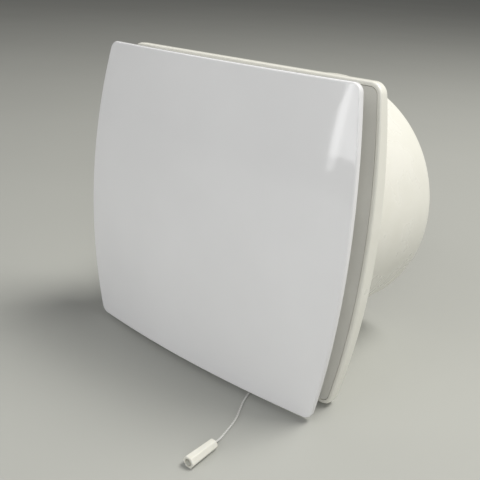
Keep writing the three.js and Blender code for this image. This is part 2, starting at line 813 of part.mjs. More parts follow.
function makeBobbin() {
  const core = coilBlock(coilHalfLength + clear, seat, 0.2);
  const tube = coilBlock(coilHalfLength, seat + bobbinWall, 1);
  const flangeMargin = seat + bobbinWall + windingDepth;
  const flange = coilBlock(bobbinWall / 2, flangeMargin, 2.5);
  const offset = coilHalfLength - bobbinWall / 2;
  return cut(join(tube, flange.translate([-offset, 0, 0]), flange.translate([offset, 0, 0])), core);
}

function makeWinding() {
  const half = coilHalfLength - bobbinWall - seat;
  const hollow = coilBlock(half + clear, bobbinWall + 2 * seat, 1);
  const wound = coilBlock(half, bobbinWall + windingDepth - seat, windingCornerRadius);
  return cut(wound, hollow);
}

// A bridge across the stator's bore that holds one bearing, with its feet against the stack
function makeBracket(feetY, isRear) {
  const direction = isRear ? 1 : -1;
  const backY = feetY + direction * bracketDepth;
  const span = (a, b) => [Math.min(a, b), Math.max(a, b)];
  const [footLow, footHigh] = span(feetY, backY - direction * (bracketBar - overlap));
  const [barLow, barHigh] = span(backY - direction * bracketBar, backY);
  const [bossLow, bossHigh] = span(backY - direction * bearingLength, backY);
  const halfLength = motorScrewX + bracketOverhang;
  const halfWidth = bracketWidth / 2;
  const shape = roundedRectangle(-halfLength, halfLength, -halfWidth, halfWidth, bracketFootRadius);
  const bridge = slab(shape, barLow, barHigh);
  const feet = [-1, 1].map((side) => bar(bracketFootRadius, footLow, footHigh, side * motorScrewX));
  const boss = bar(bracketBossRadius, bossLow, bossHigh);
  const lowY = feetY - bracketDepth - clear;
  const highY = feetY + bracketDepth + clear;
  const bore = bar(bearingRadius + seat, lowY, highY);
  const holes = [-1, 1].map((side) => bar(motorScrewRadius + seat, lowY, highY, side * motorScrewX));
  return cut(join(bridge, boss, ...feet), bore, ...holes);
}

function makeBearing(outerFaceY, isRear) {
  const direction = isRear ? -1 : 1;
  const innerFaceY = outerFaceY + direction * bearingLength;
  const low = Math.min(outerFaceY, innerFaceY);
  const high = Math.max(outerFaceY, innerFaceY);
  const bore = (shaftRadius + shaftClearance) / Math.cos(Math.PI / 24);
  return cut(bar(bearingRadius, low, high, 0, 0, 24), bar(bore, low - clear, high + clear, 0, 0, 24));
}

function makeMotorMount() {
  const ringOuter = ductBore - seat;
  const ringInner = ringOuter - mountRingWall;
  const cupInner = mountCupRadius - mountRingWall;
  const outerRing = skin([
    ring(circle(ringInner), mountFrontY),
    ring(circle(ringOuter), mountFrontY),
    ring(circle(ringOuter), mountBackY),
    ring(circle(ringInner), mountBackY),
  ], true);
  const cupBackY = mountPlateBackY + mountCupRim;
  const plate = bar(mountCupRadius - overlap, mountFrontY, mountPlateBackY, 0, 0, 28);
  const rim = turned([[cupInner, mountFrontY], [mountCupRadius, mountFrontY], [mountCupRadius, cupBackY],
    [cupInner, cupBackY], [cupInner, mountFrontY]], 28);
  const vanes = [];
  const vaneSetback = 1;
  for (let i = 0; i < vaneCount; i += 1) {
    const vane = box(-vaneThickness / 2, vaneThickness / 2, mountFrontY, mountBackY - vaneSetback,
      mountCupRadius - overlap, ringInner + overlap);
    vanes.push(vane.rotate([0, vaneLean + 45 + 360 * i / vaneCount, 0]));
  }
  const windowMargin = 1.5;
  const lowY = mountFrontY - clear;
  const highY = mountPlateBackY + clear;
  const window = bar(bearingRadius + windowMargin, lowY, highY);
  const holes = [-1, 1].map((side) => bar(motorScrewRadius + seat, lowY, highY, side * motorScrewX));
  const coilRoom = coilBlock(coilHalfLength + clear, bobbinWall + windingDepth + 4 * seat, 3);
  return cut(join(outerRing, plate, rim, ...vanes), window, ...holes, coilRoom);
}

function makeMotorScrew(side) {
  const x = side * motorScrewX;
  const headY = rearBracketEndY + seat;
  const head = bar(motorScrewHeadRadius, headY, headY + motorScrewHeadHeight, x, 0, 6);
  const shank = bar(motorScrewRadius, mountFrontY - seat - motorNutLength, headY + overlap, x, 0, 12);
  return join(head, shank);
}

function makeMotorNut(side) {
  const x = side * motorScrewX;
  const backY = mountFrontY - seat;
  const frontY = backY - motorNutLength;
  const nut = bar(motorNutRadius, frontY, backY, x, 0, 6);
  return cut(nut, bar(motorScrewRadius + seat, frontY - clear, backY + clear, x, 0, 12));
}

function terminalX(index) {
  return -boxInnerX - terminalInset - terminalPitch * (index + 0.5);
}

function makeTerminalBlock() {
  const lowX = -(boxInnerX + boxLength);
  const lowZ = -(boxTopZ + boxHeight);
  const shape = roundedRectangle(lowX, -boxInnerX, lowZ, -boxTopZ, boxCornerRadius);
  const body = slab(shape, terminalBaseY, boxBackY);
  const inset = 1;
  const frontY = terminalFrontY - clear;
  const towers = [];
  const wells = [];
  for (let i = 0; i < terminalPoles; i += 1) {
    const x = terminalX(i);
    const half = (terminalPitch - terminalTowerGap) / 2;
    const towerBackY = terminalBaseY + overlap;
    towers.push(box(x - half, x + half, terminalFrontY, towerBackY, lowZ + inset, -boxTopZ - inset));
    const wellEndY = terminalFrontY + terminalWellDepth;
    wells.push(bar(terminalScrewHole, frontY, wellEndY, x, -boxMiddleZ, 12));
  }
  const fixing = bar(screwRadius + seat, frontY, boxBackY + clear, -fixingScrewX, -boxMiddleZ, 16);
  return cut(join(body, ...towers), ...wells, fixing);
}

function makeTerminalScrew(index) {
  const slotDepth = 0.5;
  const slotHalf = 0.2;
  const x = terminalX(index);
  const topY = terminalFrontY + terminalScrewSink;
  const endY = terminalFrontY + terminalWellDepth - seat;
  const body = bar(terminalScrewHole - seat, topY, endY, x, -boxMiddleZ, 12);
  const long = terminalScrewHole;
  const slot = box(x - long, x + long, topY - clear, topY + slotDepth,
    -boxMiddleZ - slotHalf, -boxMiddleZ + slotHalf);
  return cut(body, slot);
}

function makeFixingScrew(x, headY) {
  const seatY = headY - seat;
  const head = panHead(fixingHeadRadius, fixingHeadHeight, seatY, x, -boxMiddleZ);
  const tipY = plateY + fixingPilotDepth - seat;
  return join(head, bar(screwRadius, seatY - overlap, tipY, x, -boxMiddleZ, 12));
}

function makeGrommet() {
  const wall = 1.2;
  const flange = 1.4;
  const neck = grommetRadius - seat;
  const membraneY = plateY + 0.8;
  const lipY = plateY - seat - wall;
  const profile = [
    [0, membraneY],
    [neck - wall, membraneY],
    [neck - wall, lipY],
    [neck + flange, lipY],
    [neck + flange, plateY - seat],
    [neck, plateY - seat],
    [neck, wallPlaneY - seat],
    [0, wallPlaneY - seat],
  ];
  return turned(profile, 16).translate([-grommetX, 0, -grommetZ]);
}

function makeSwitchBody() {
  const lowZ = -(boxTopZ + boxHeight);
  const shape = roundedRectangle(boxInnerX, boxInnerX + boxLength, lowZ, -boxTopZ, boxCornerRadius);
  const body = slab(shape, switchFrontY, boxBackY);
  const slotHalf = leverThickness / 2 + seat;
  const slotEndX = leverPivotX + leverEyeRadius + overlap;
  const slotLowZ = leverZ - leverSlotBelow;
  const slotHighZ = leverZ + leverSlotAbove;
  const slot = box(boxInnerX - clear, slotEndX, leverY - slotHalf, leverY + slotHalf, slotLowZ, slotHighZ);
  const pinFrontY = leverY - slotHalf - leverPinFront - seat;
  const pinBackY = leverY + slotHalf + leverPinBack + seat;
  const pinHole = bar(leverPinRadius + seat, pinFrontY, pinBackY, leverPivotX, leverZ, 12);
  const frontY = switchFrontY - clear;
  const well = bar(fixingHeadRadius + seat, frontY, switchWellY, fixingScrewX, -boxMiddleZ, 16);
  const fixing = bar(screwRadius + seat, frontY, boxBackY + clear, fixingScrewX, -boxMiddleZ, 16);
  return cut(body, slot, pinHole, well, fixing);
}

function makeSwitchLever() {
  const tipX = cordX - leverTipLength;
  const half = leverThickness / 2;
  const tall = leverHalfHeight;
  const arm = box(tipX, leverPivotX, leverY - half, leverY + half, leverZ - tall, leverZ + tall);
  const eye = bar(leverEyeRadius, leverY - half, leverY + half, leverPivotX, leverZ, 16);
  const holeRadius = leverPinRadius + pinClearance;
  const pinHole = bar(holeRadius, leverY - half - clear, leverY + half + clear, leverPivotX, leverZ, 12);
  const fork = cordDiameter / 2 + leverForkClearance;
  const notch = box(tipX - clear, cordX + fork, leverY - fork, leverY + fork,
    leverZ - tall - clear, leverZ + tall + clear);
  return cut(join(arm, eye), pinHole, notch);
}

function makeLeverPin() {
  const slotHalf = leverThickness / 2 + seat;
  const frontY = leverY - slotHalf - leverPinFront;
  const backY = leverY + slotHalf + leverPinBack;
  return bar(leverPinRadius, frontY, backY, leverPivotX, leverZ, 12);
}

function makeCordEyelet() {
  const flangeRadius = eyeletRadius + eyeletFlangeWidth;
  const innerEnd = eyeletFlange + seat + frameWall + eyeletTail;
  const profile = [
    [eyeletBore, 0],
    [flangeRadius, 0],
    [flangeRadius, eyeletFlange],
    [eyeletRadius, eyeletFlange],
    [eyeletRadius, innerEnd],
    [eyeletBore, innerEnd],
    [eyeletBore, 0],
  ];
  const points = profile.map(([radius, height]) => new THREE.Vector2(radius, height));
  const geometry = new THREE.LatheGeometry(points, 16);
  geometry.rotateX(Math.PI / 2);
  geometry.translate(cordX, leverY, eyeletMouthZ);
  return toSolid(geometry);
}

// The cord's straight run from the lever's fork down into the eyelet, with its stop knot
function makeSwitchCord() {
  const knotZ = leverZ + leverHalfHeight + seat + switchKnotRadius;
  const run = pillar(cordDiameter / 2, eyeletMouthZ + switchCordEnd, knotZ, cordX, leverY, 8);
  const knot = new THREE.SphereGeometry(switchKnotRadius, 8, 5);
  knot.translate(cordX, leverY, knotZ);
  return join(run, toSolid(knot));
}

function makePullCord() {
  const sides = 8;
  const steps = 36;
  const section = new THREE.Shape();
  for (let i = 0; i < sides; i += 1) {
    const angle = 2 * Math.PI * (i + 0.5) / sides;
    const point = [cordDiameter / 2 * Math.cos(angle), cordDiameter / 2 * Math.sin(angle)];
    if (i === 0) section.moveTo(...point);
    else section.lineTo(...point);
  }
  section.closePath();
  const route = new THREE.CatmullRomCurve3(cordRoute.map((point) => new THREE.Vector3(...point)));
  const tube = new THREE.ExtrudeGeometry(section, { steps, bevelEnabled: false, extrudePath: route });
  const knot = new THREE.SphereGeometry(cordKnotRadius, 8, 5);
  knot.translate(...cordRoute[cordRoute.length - 1]);
  return join(toSolid(tube), toSolid(knot));
}

// A six-sided section with rounded corners that stands on one of its flats
function bellSection(flats, y) {
  const apothem = flats / 2;
  const cornerSteps = 2;
  const toCorner = (apothem - bellCornerRadius) / Math.cos(Math.PI / 6);
  const points = [];
  for (let side = 0; side < 6; side += 1) {
    const middle = side * Math.PI / 3;
    for (let i = 0; i <= cornerSteps; i += 1) {
      const angle = middle + Math.PI / 3 * (i / cornerSteps - 0.5);
      const x = toCorner * Math.cos(middle) + bellCornerRadius * Math.cos(angle);
      const z = toCorner * Math.sin(middle) + bellCornerRadius * Math.sin(angle);
      points.push(new THREE.Vector3(x, y, apothem + z));
    }
  }
  return points;
}

function makePullBell() {
  const round = 0.8;
  const flatsAt = (y) => bellRearFlats + (bellFrontFlats - bellRearFlats) * -y / bellLength;
  const lift = (points, height) => points.map((point) => point.clone().setZ(point.z + height));
  const body = skin([
    lift(bellSection(bellRearFlats - 2 * round, 0), round),
    lift(bellSection(bellRearFlats - 0.6 * round, -0.3 * round), 0.3 * round),
    bellSection(flatsAt(-round), -round),
    bellSection(flatsAt(-bellLength), -bellLength),
  ], false);
  const boreFlats = bellFrontFlats / 2;
  const bore = bar(bellBore / 2, -bellLength - clear, -bellLength + bellBoreDepth, 0, boreFlats);
  const cordZ = cordRoute[cordRoute.length - 2][2];
  const cordHole = bar(cordDiameter / 2 + seat, -bellLength, clear, 0, cordZ, 12);
  const solid = cut(body, bore, cordHole);
  return solid.rotate([0, 0, bellTurn]).translate([...bellRear, 0]);
}

function addPiece(group, name, solid, material) {
  const mesh = new THREE.Mesh(toGeometry(solid), material);
  mesh.name = name;
  group.add(mesh);
}

const fan = new THREE.Group();
addPiece(fan, 'front_panel', makeFrontPanel(), whiteGloss);
addPiece(fan, 'casing', makeCasing(), ivory);
addPiece(fan, 'front_frame', makeFrontFrame(), ivoryInner);
eachCorner((sideX, sideZ) => {
  const name = `frame_screw_${sideZ > 0 ? 'top' : 'bottom'}_${sideX > 0 ? 'right' : 'left'}`;
  addPiece(fan, name, makeFrameScrew(sideX, sideZ), zincPlate);
});
addPiece(fan, 'impeller', makeImpeller(), greyNylon);
addPiece(fan, 'impeller_clip', makeImpellerClip(), steel);
addPiece(fan, 'motor_shaft', makeMotorShaft(), steel);
addPiece(fan, 'rotor', makeRotor(), laminations);
addPiece(fan, 'motor_mount', makeMotorMount(), ivoryInner);
addPiece(fan, 'front_bracket', makeBracket(stackFrontY - seat, false), castZinc);
addPiece(fan, 'rear_bracket', makeBracket(rearBracketY, true), castZinc);
addPiece(fan, 'front_bearing', makeBearing(frontBracketY, false), bronze);
addPiece(fan, 'rear_bearing', makeBearing(rearBracketEndY, true), bronze);
addPiece(fan, 'stator_stack', makeStatorStack(), laminations);
addPiece(fan, 'coil_core', makeCoilCore(), laminations);
addPiece(fan, 'coil_bobbin', makeBobbin(), greyNylon);
addPiece(fan, 'coil_winding', makeWinding(), copper);
[-1, 1].forEach((side) => {
  const hand = side > 0 ? 'right' : 'left';
  addPiece(fan, `motor_screw_${hand}`, makeMotorScrew(side), zincPlate);
  addPiece(fan, `motor_nut_${hand}`, makeMotorNut(side), zincPlate);
});
addPiece(fan, 'terminal_block', makeTerminalBlock(), greyNylon);
for (let i = 0; i < terminalPoles; i += 1) {
  addPiece(fan, `terminal_screw_${i + 1}`, makeTerminalScrew(i), zincPlate);
}
addPiece(fan, 'terminal_fixing_screw', makeFixingScrew(-fixingScrewX, terminalBaseY), zincPlate);
addPiece(fan, 'cable_grommet', makeGrommet(), rubber);
addPiece(fan, 'switch_body', makeSwitchBody(), blackNylon);
addPiece(fan, 'switch_fixing_screw', makeFixingScrew(fixingScrewX, switchWellY), zincPlate);
addPiece(fan, 'switch_lever', makeSwitchLever(), greyNylon);
addPiece(fan, 'lever_pin', makeLeverPin(), steel);
addPiece(fan, 'cord_eyelet', makeCordEyelet(), whiteGloss);
addPiece(fan, 'switch_cord', makeSwitchCord(), cordWhite);

// The fan lies back on the casing's rear bottom edge and the end of its duct
const lean = Math.atan((casingHeight / 2 - ductRadius) / ductLength);
fan.rotation.x = -lean;
fan.position.z = wallPlaneY * Math.sin(lean) + casingHeight / 2 * Math.cos(lean);
fan.updateMatrixWorld(true);
const extent = new THREE.Box3().setFromObject(fan, true);
fan.position.y = -(extent.min.y + extent.max.y) / 2;
fan.updateMatrixWorld(true);

const model = new THREE.Group();
model.add(fan);
addPiece(model, 'pull_cord', makePullCord(), cordWhite);
addPiece(model, 'pull_bell', makePullBell(), whiteGloss);

export default model;
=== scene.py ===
import json
import math
from collections import namedtuple
from contextlib import contextmanager

import bmesh
import bpy
from mathutils import Matrix, Vector


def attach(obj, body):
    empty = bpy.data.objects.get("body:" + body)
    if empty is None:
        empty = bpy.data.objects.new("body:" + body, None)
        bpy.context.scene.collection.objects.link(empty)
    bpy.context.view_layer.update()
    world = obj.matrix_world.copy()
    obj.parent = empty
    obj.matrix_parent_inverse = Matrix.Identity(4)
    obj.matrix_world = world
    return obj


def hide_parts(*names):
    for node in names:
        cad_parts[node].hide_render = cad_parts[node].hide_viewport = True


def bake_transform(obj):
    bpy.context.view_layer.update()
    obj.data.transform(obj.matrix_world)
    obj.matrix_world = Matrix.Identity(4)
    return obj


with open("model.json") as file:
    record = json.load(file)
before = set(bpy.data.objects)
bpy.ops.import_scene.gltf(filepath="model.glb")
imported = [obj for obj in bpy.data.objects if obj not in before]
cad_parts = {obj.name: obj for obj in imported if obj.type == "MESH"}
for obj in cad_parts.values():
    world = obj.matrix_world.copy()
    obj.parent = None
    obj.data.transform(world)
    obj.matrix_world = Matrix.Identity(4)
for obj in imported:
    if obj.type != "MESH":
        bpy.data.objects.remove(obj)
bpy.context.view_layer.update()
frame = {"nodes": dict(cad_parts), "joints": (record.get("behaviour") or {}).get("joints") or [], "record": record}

# An exhaust fan with a flat bowed front panel, a round duct and a pull cord, lying back on its duct.
# Each piece is shaped in millimetres in the fan's own frame: x right, y back along the duct, z up,
# with the duct's axis at x = z = 0 and the panel's front corners at y = 0. It is then laid into place.

MM = 0.001
TURN = 2 * math.pi
QUARTER = math.pi / 2
SPIN_POINT_DEPTH = 45  # the point that the impeller's joint states, behind the panel's corners
spin = next(joint for joint in frame["joints"] if joint["name"] == "impeller_spin")
duct_axis = Vector(spin["axis"])
fan_up = Vector((1, 0, 0)).cross(duct_axis)
fan_origin = Vector(spin["pos_m"]) - duct_axis * SPIN_POINT_DEPTH * MM
fan_turn = Matrix(((1, duct_axis.x, fan_up.x), (0, duct_axis.y, fan_up.y), (0, duct_axis.z, fan_up.z)))
TABLE_PLACE = Matrix.Scale(MM, 4)
FAN_PLACE = Matrix.Translation(fan_origin) @ fan_turn.to_4x4() @ TABLE_PLACE

# An outline with straight ends, bowed sides and rounded corners
Form = namedtuple("Form", "width height bow corner")

# Panel
PANEL = Form(158.5, 165, 8.7, 5)
PANEL_DOME, PANEL_THICKNESS, PANEL_EDGE, PANEL_GAP = 5, 2.9, 0.9, 14.3
POST_RADIUS, POST_PIN_RADIUS, POST_PIN_LENGTH = 3.4, 2.1, 9.2
POST_X, POST_Z = 69.4, 22

# Casing and duct
CASING = Form(159.4, 164.4, 9.2, 6.5)
CASING_DEPTH, CASING_SIDE_RISE, CASING_WALL = 5.4, 3.3, 2.2
DUCT_RADIUS, DUCT_WALL, DUCT_LENGTH = 74, 2, 88.4
WALL_HOLE_RADIUS, WALL_HOLE_X, WALL_HOLE_Z = 2.25, 62.5, 60
BOSS_RADIUS, STOP_HALF_WIDTH, STOP_DEPTH, STOP_HEIGHT = 3, 5, 3.5, 1.3

# Frame behind the panel
SEAT = 0.3  # between pieces that fit together
FRAME_WALL, FRAME_RECESS, STRIP_FALL = 1.8, 0.4, 0.6
PARTING_GAP = 0.15  # finer than on the plain solids
PLATEAU_SIDE_INSET, PLATEAU_END_INSET, PLATEAU_RISE = 13.5, 6.5, 8.7
RISER_SLOPE = 1.2
MOUTH_RADIUS, MOUTH_LIP, COLLAR_LENGTH = 66, 3, 16.5
FRAME_SCREW_X, FRAME_SCREW_Z = 61.2, 69.6

# Impeller
BLADES = 7
BLADE_CHORD, BLADE_GROWTH, BLADE_THICKNESS = 24, 16, 2.4
BLADE_PITCH, BLADE_TWIST, BLADE_SWEEP, BLADE_CAMBER = 46, 21, 0.22, 0.07
HUB_RADIUS, HUB_WALL, HUB_LENGTH, HUB_BOSS_RADIUS, NOSE_RADIUS = 25, 2, 25, 5.5, 5
IMPELLER_SETBACK, TIP_GAP = 5, 2.5

# Motor and mount
SHAFT_RADIUS = 2
MOUNT_SETBACK, MOUNT_LENGTH, MOUNT_WALL = 3.5, 12, 2
CUP_RADIUS, CUP_BORE, CUP_RIM, MOUNT_PLATE = 30, 6, 3, 2.5
VANES, VANE_THICKNESS, VANE_LEAN = 4, 2.2, 8
STACK_HALF, STACK_TOP, STACK_BOTTOM, STACK_LENGTH = 25, 20, 38, 18
STATOR_BORE, AIR_GAP = 13.6, 0.6
LIMB_WIDTH, LIMB_HEIGHT, WINDOW_TOP = 32.4, 12, 16.5
BOBBIN_WALL, WINDING_DEPTH, WIRE = 1.2, 5.2, 0.55
BRACKET_DEPTH, BRACKET_BAR, BRACKET_WIDTH, BRACKET_BOSS, BRACKET_FOOT, BRACKET_END = 8, 3, 11, 7, 4, 4.5
BEARING_RADIUS, BEARING_LENGTH, RUNNING_FIT = 4.5, 5, 0.07
MOTOR_SCREW_X, MOTOR_SCREW_RADIUS = 20.5, 1.5
SCREW_RADIUS, SCREW_HEAD_RADIUS, SCREW_HEAD_HEIGHT, SCREW_END = 1.4, 2.5, 1.6, 0.8
MOTOR_SCREW_HEAD_RADIUS, MOTOR_SCREW_HEAD_HEIGHT, MOTOR_NUT_RADIUS, MOTOR_NUT_LENGTH = 3, 2, 2.9, 2
SHADING_SLOT_HALF_WIDTH, SHADING_SLOT_DEPTH = 1, 2.5
LIMB_INSET, COIL_END_GAP = 1, 0.8

# Wiring and pull switch, in the lower corners behind the frame
BOX_SIDE_INSET, BOX_END_INSET, BOX_LENGTH, BOX_HEIGHT = 36.2, 10.2, 14.4, 11
TERMINAL_DEPTH, TERMINAL_POLES, TERMINAL_PITCH, TERMINAL_INSET = 7.5, 3, 3.1, 0.4
TERMINAL_TOWER_HEIGHT, TERMINAL_TOWER_GAP, TERMINAL_WELL_DEPTH = 2, 0.7, 3
TERMINAL_SCREW_SINK, TERMINAL_WELL_RADIUS = 0.4, 1.105
GROMMET_MARGIN, GROMMET_TURN, GROMMET_RADIUS, GROMMET_WALL, GROMMET_FLANGE = 6.4, 38.4, 4, 1.2, 1.4
LEVER_ARM, LEVER_TIP_LENGTH, LEVER_THICKNESS, LEVER_HALF_HEIGHT = 8.5, 1.6, 2.4, 1
LEVER_EYE_RADIUS, LEVER_SLOT_ABOVE, LEVER_SLOT_BELOW, LEVER_FORK_CLEARANCE = 1.5, 1.6, 5.4, 0.35
LEVER_PIN_RADIUS, LEVER_PIN_FRONT, LEVER_PIN_BACK = 0.9, 0.6, 1.6
EYELET_BORE, EYELET_RADIUS, EYELET_FLANGE, EYELET_FLANGE_WIDTH, EYELET_TAIL = 1, 2, 0.7, 1, 0.8
FIXING_HEAD_RADIUS, FIXING_HEAD_HEIGHT, FIXING_INSET = 1.9, 1.4, 2.5
FIXING_WELL_DEPTH, FIXING_PILOT_DEPTH = 1.9, 1.5
CORD_INSET, LEVER_PLANE, LEVER_RAISE = 1.5, 4.2, 3
SWITCH_KNOT_RADIUS, CORD_TRAVEL = 1.25, 3.2

# Cord and bell, in the frame that the fan rests in
CORD_DIAMETER, CORD_SIDES, STOP_KNOT_RADIUS = 1, 16, 1.35
BELL_LENGTH, BELL_FRONT, BELL_REAR = 18, 5.7, 4.8
BELL_BORE, BELL_BORE_DEPTH, BELL_CORNER, BELL_ROUND = 3.9, 12, 0.9, 0.8
BELL_REAR_X, BELL_REAR_Y, BELL_TURN = 56.5, -104.6, 1.6
CORD_ROUTE = [
    (42, -46.42, 5.85), (42, -46.6, 4.3), (42, -47.4, 2.4), (41.9, -49.1, 1), (41.7, -51.6, 0.55),
    (41.4, -55.5, 0.55), (41.5, -59.4, 0.55), (42.6, -63.4, 0.55), (44.7, -69.3, 0.55),
    (47.4, -75.1, 0.55), (50, -80.5, 0.55), (52.1, -86.3, 0.55), (53.5, -92.2, 0.55),
    (54.8, -97.4, 0.7), (55.7, -100.8, 1.4), (56.35, -103, 2.2), (56.5, -104.6, 2.45),
    (56.6, -108.5, 2.5), (56.72, -112.4, 2.56),
]

# Places along the duct's axis
CASING_FRONT = PANEL_THICKNESS + PANEL_GAP
WALL_PLANE = CASING_FRONT + CASING_DEPTH
PLATE = WALL_PLANE - CASING_WALL
DUCT_END = WALL_PLANE + DUCT_LENGTH
DUCT_BORE = DUCT_RADIUS - DUCT_WALL
PLATEAU = CASING_FRONT - PLATEAU_RISE
PLATEAU_BACK = PLATEAU + FRAME_WALL
COLLAR_END = PLATEAU + MOUTH_LIP + COLLAR_LENGTH
HUB_FRONT = COLLAR_END + IMPELLER_SETBACK
HUB_BACK = HUB_FRONT + HUB_LENGTH
MOUNT_FRONT = HUB_BACK + MOUNT_SETBACK
MOUNT_BACK = MOUNT_FRONT + MOUNT_LENGTH
MOUNT_PLATE_BACK = MOUNT_FRONT + MOUNT_PLATE
FRONT_BRACKET = MOUNT_PLATE_BACK + SEAT
STACK_FRONT = FRONT_BRACKET + BRACKET_DEPTH + SEAT
STACK_BACK = STACK_FRONT + STACK_LENGTH
REAR_BRACKET = STACK_BACK + SEAT
REAR_BRACKET_END = REAR_BRACKET + BRACKET_DEPTH

# Places round the coil, of the boxes in the lower corners, and of the pull cord's exit
COIL_MIDDLE = -(STACK_BOTTOM - LIMB_INSET - LIMB_HEIGHT / 2)
COIL_HALF_LENGTH = LIMB_WIDTH / 2 - COIL_END_GAP
FLANGE_MARGIN = SEAT + BOBBIN_WALL + WINDING_DEPTH
BOX_INNER = CASING.width / 2 - BOX_SIDE_INSET
BOX_OUTER = BOX_INNER + BOX_LENGTH
BOX_TOP = CASING.height / 2 - BOX_END_INSET - BOX_HEIGHT
BOX_BOTTOM = BOX_TOP + BOX_HEIGHT
BOX_MIDDLE = BOX_TOP + BOX_HEIGHT / 2
BOX_BACK = PLATE - SEAT
FIXING_X = BOX_OUTER - FIXING_INSET
TERMINAL_FRONT = BOX_BACK - TERMINAL_DEPTH
TERMINAL_BASE = TERMINAL_FRONT + TERMINAL_TOWER_HEIGHT
TERMINAL_WELL = TERMINAL_FRONT + TERMINAL_WELL_DEPTH
SWITCH_FRONT = PLATEAU_BACK + SEAT
SWITCH_WELL = SWITCH_FRONT + FIXING_WELL_DEPTH
CORD_X = BOX_INNER - CORD_INSET
LEVER_Y = CASING_FRONT - LEVER_PLANE
LEVER_Z = -(BOX_TOP + LEVER_RAISE)
LEVER_PIVOT = CORD_X + LEVER_ARM
RISER_OUTSIDE = -(CASING.height / 2 - PLATEAU_END_INSET)
EYELET_MOUTH = RISER_OUTSIDE - EYELET_FLANGE - SEAT
GROMMET_X = -(DUCT_RADIUS + GROMMET_MARGIN) * math.cos(math.radians(GROMMET_TURN))
GROMMET_Z = -(DUCT_RADIUS + GROMMET_MARGIN) * math.sin(math.radians(GROMMET_TURN))
PLATEAU_FORM = Form(
    CASING.width - 2 * PLATEAU_SIDE_INSET, CASING.height - 2 * PLATEAU_END_INSET, CASING.bow, CASING.corner
)

# Camera, at the photograph's viewing angle
CAMERA_PLACE = Vector((0.22257, -0.29322, 0.21612))
CAMERA_FORWARD = Vector((-0.58289, 0.70759, -0.39944))
CAMERA_UP = Vector((-0.28463, 0.28264, 0.91603))
CAMERA_LENS, CAMERA_SENSOR = 50.49, 36


def make_camera():
    data = bpy.data.cameras.new("camera")
    data.lens, data.sensor_width, data.clip_start = CAMERA_LENS, CAMERA_SENSOR, 0.01
    camera = bpy.data.objects.new("camera", data)
    bpy.context.scene.collection.objects.link(camera)
    back = -CAMERA_FORWARD.normalized()
    right = CAMERA_UP.cross(back).normalized()
    turn = Matrix((right, back.cross(right), back)).transposed()
    camera.matrix_world = Matrix.Translation(CAMERA_PLACE) @ turn.to_4x4()
    bpy.context.scene.camera = camera


# Materials

def colour(hex_code):
    """A written sRGB colour as the linear one that the shader takes."""
    channels = [int(hex_code[i : i + 2], 16) / 255 for i in (1, 3, 5)]
    return (*[c / 12.92 if c <= 0.04045 else ((c + 0.055) / 1.055) ** 2.4 for c in channels], 1)


def node(tree, kind, links=None, **settings):
    """Adds a node with its settings, and links its inputs from other nodes' outputs or sets them."""
    made = tree.nodes.new(kind)
    for name, value in settings.items():
        setattr(made, name, value)
    for socket, value in (links or {}).items():
        if isinstance(value, bpy.types.NodeSocket):
            tree.links.new(value, made.inputs[socket])
        else:
            made.inputs[socket].default_value = value
    return made


def mottled(
    name, light, dark, cloud_mm, smooth, rough, grain_mm, grain_depth_mm, stretch=(1, 1, 1), **shader
):
    """A finish whose colour and roughness drift in clouds, over a fine grain. stretch draws both out along
    an axis where it is below 1."""
    material = bpy.data.materials.new(name)
    material.use_nodes = True
    tree = material.node_tree
    tree.nodes.clear()
    place = node(tree, "ShaderNodeTexCoord").outputs["Object"]
    drawn = node(tree, "ShaderNodeMapping", {"Vector": place, "Scale": stretch}).outputs["Vector"]

    def noise(size_mm, detail):
        inputs = {"Vector": drawn, "Scale": 1 / (size_mm * MM), "Detail": detail}
        return node(tree, "ShaderNodeTexNoise", inputs).outputs["Fac"]

    clouds = {"Value": noise(cloud_mm, 3.0), "From Min": 0.3, "From Max": 0.7}
    spread = node(tree, "ShaderNodeMapRange", clouds).outputs["Result"]
    tint = node(tree, "ShaderNodeMix", {0: spread, 6: colour(light), 7: colour(dark)}, data_type="RGBA")
    dullness = node(tree, "ShaderNodeMapRange", {"Value": spread, "To Min": smooth, "To Max": rough})
    grain = {"Height": noise(grain_mm, 1.0), "Distance": grain_depth_mm * MM, "Strength": 1.0}
    relief = node(tree, "ShaderNodeBump", grain)
    inputs = {
        "Base Color": tint.outputs[2],
        "Roughness": dullness.outputs["Result"],
        "Normal": relief.outputs["Normal"],
    }
    surface = node(tree, "ShaderNodeBsdfPrincipled", {**inputs, **shader})
    node(tree, "ShaderNodeOutputMaterial", {"Surface": surface.outputs["BSDF"]})
    return material


def waves(tree, vector, spacing, direction, distortion=0.0):
    """Even waves, their crests a spacing apart."""
    inputs = {"Vector": vector, "Scale": TURN / (20 * spacing), "Distortion": distortion}
    return node(tree, "ShaderNodeTexWave", inputs, bands_direction=direction).outputs["Fac"]


def carved(material, pattern, joint_or_shade_colour, depth_mm, darkens_crests):
    """Carves a pattern into a finish, and paints either its crests or its troughs a darker colour: dark joints
    between the steel's sheets, or painted shade in the braid's troughs.
    """
    tree = material.node_tree
    inputs = tree.nodes["Principled BSDF"].inputs
    plain = inputs["Base Color"].links[0].from_socket
    trough, crest = (plain, colour(joint_or_shade_colour)) if darkens_crests else (colour(joint_or_shade_colour), plain)
    shaded = node(tree, "ShaderNodeMix", {0: pattern, 6: trough, 7: crest}, data_type="RGBA")
    relief = node(tree, "ShaderNodeBump", {"Height": pattern, "Distance": depth_mm * MM, "Strength": 1.0})
    tree.links.new(shaded.outputs[2], inputs["Base Color"])
    tree.links.new(relief.outputs["Normal"], inputs["Normal"])
    return material


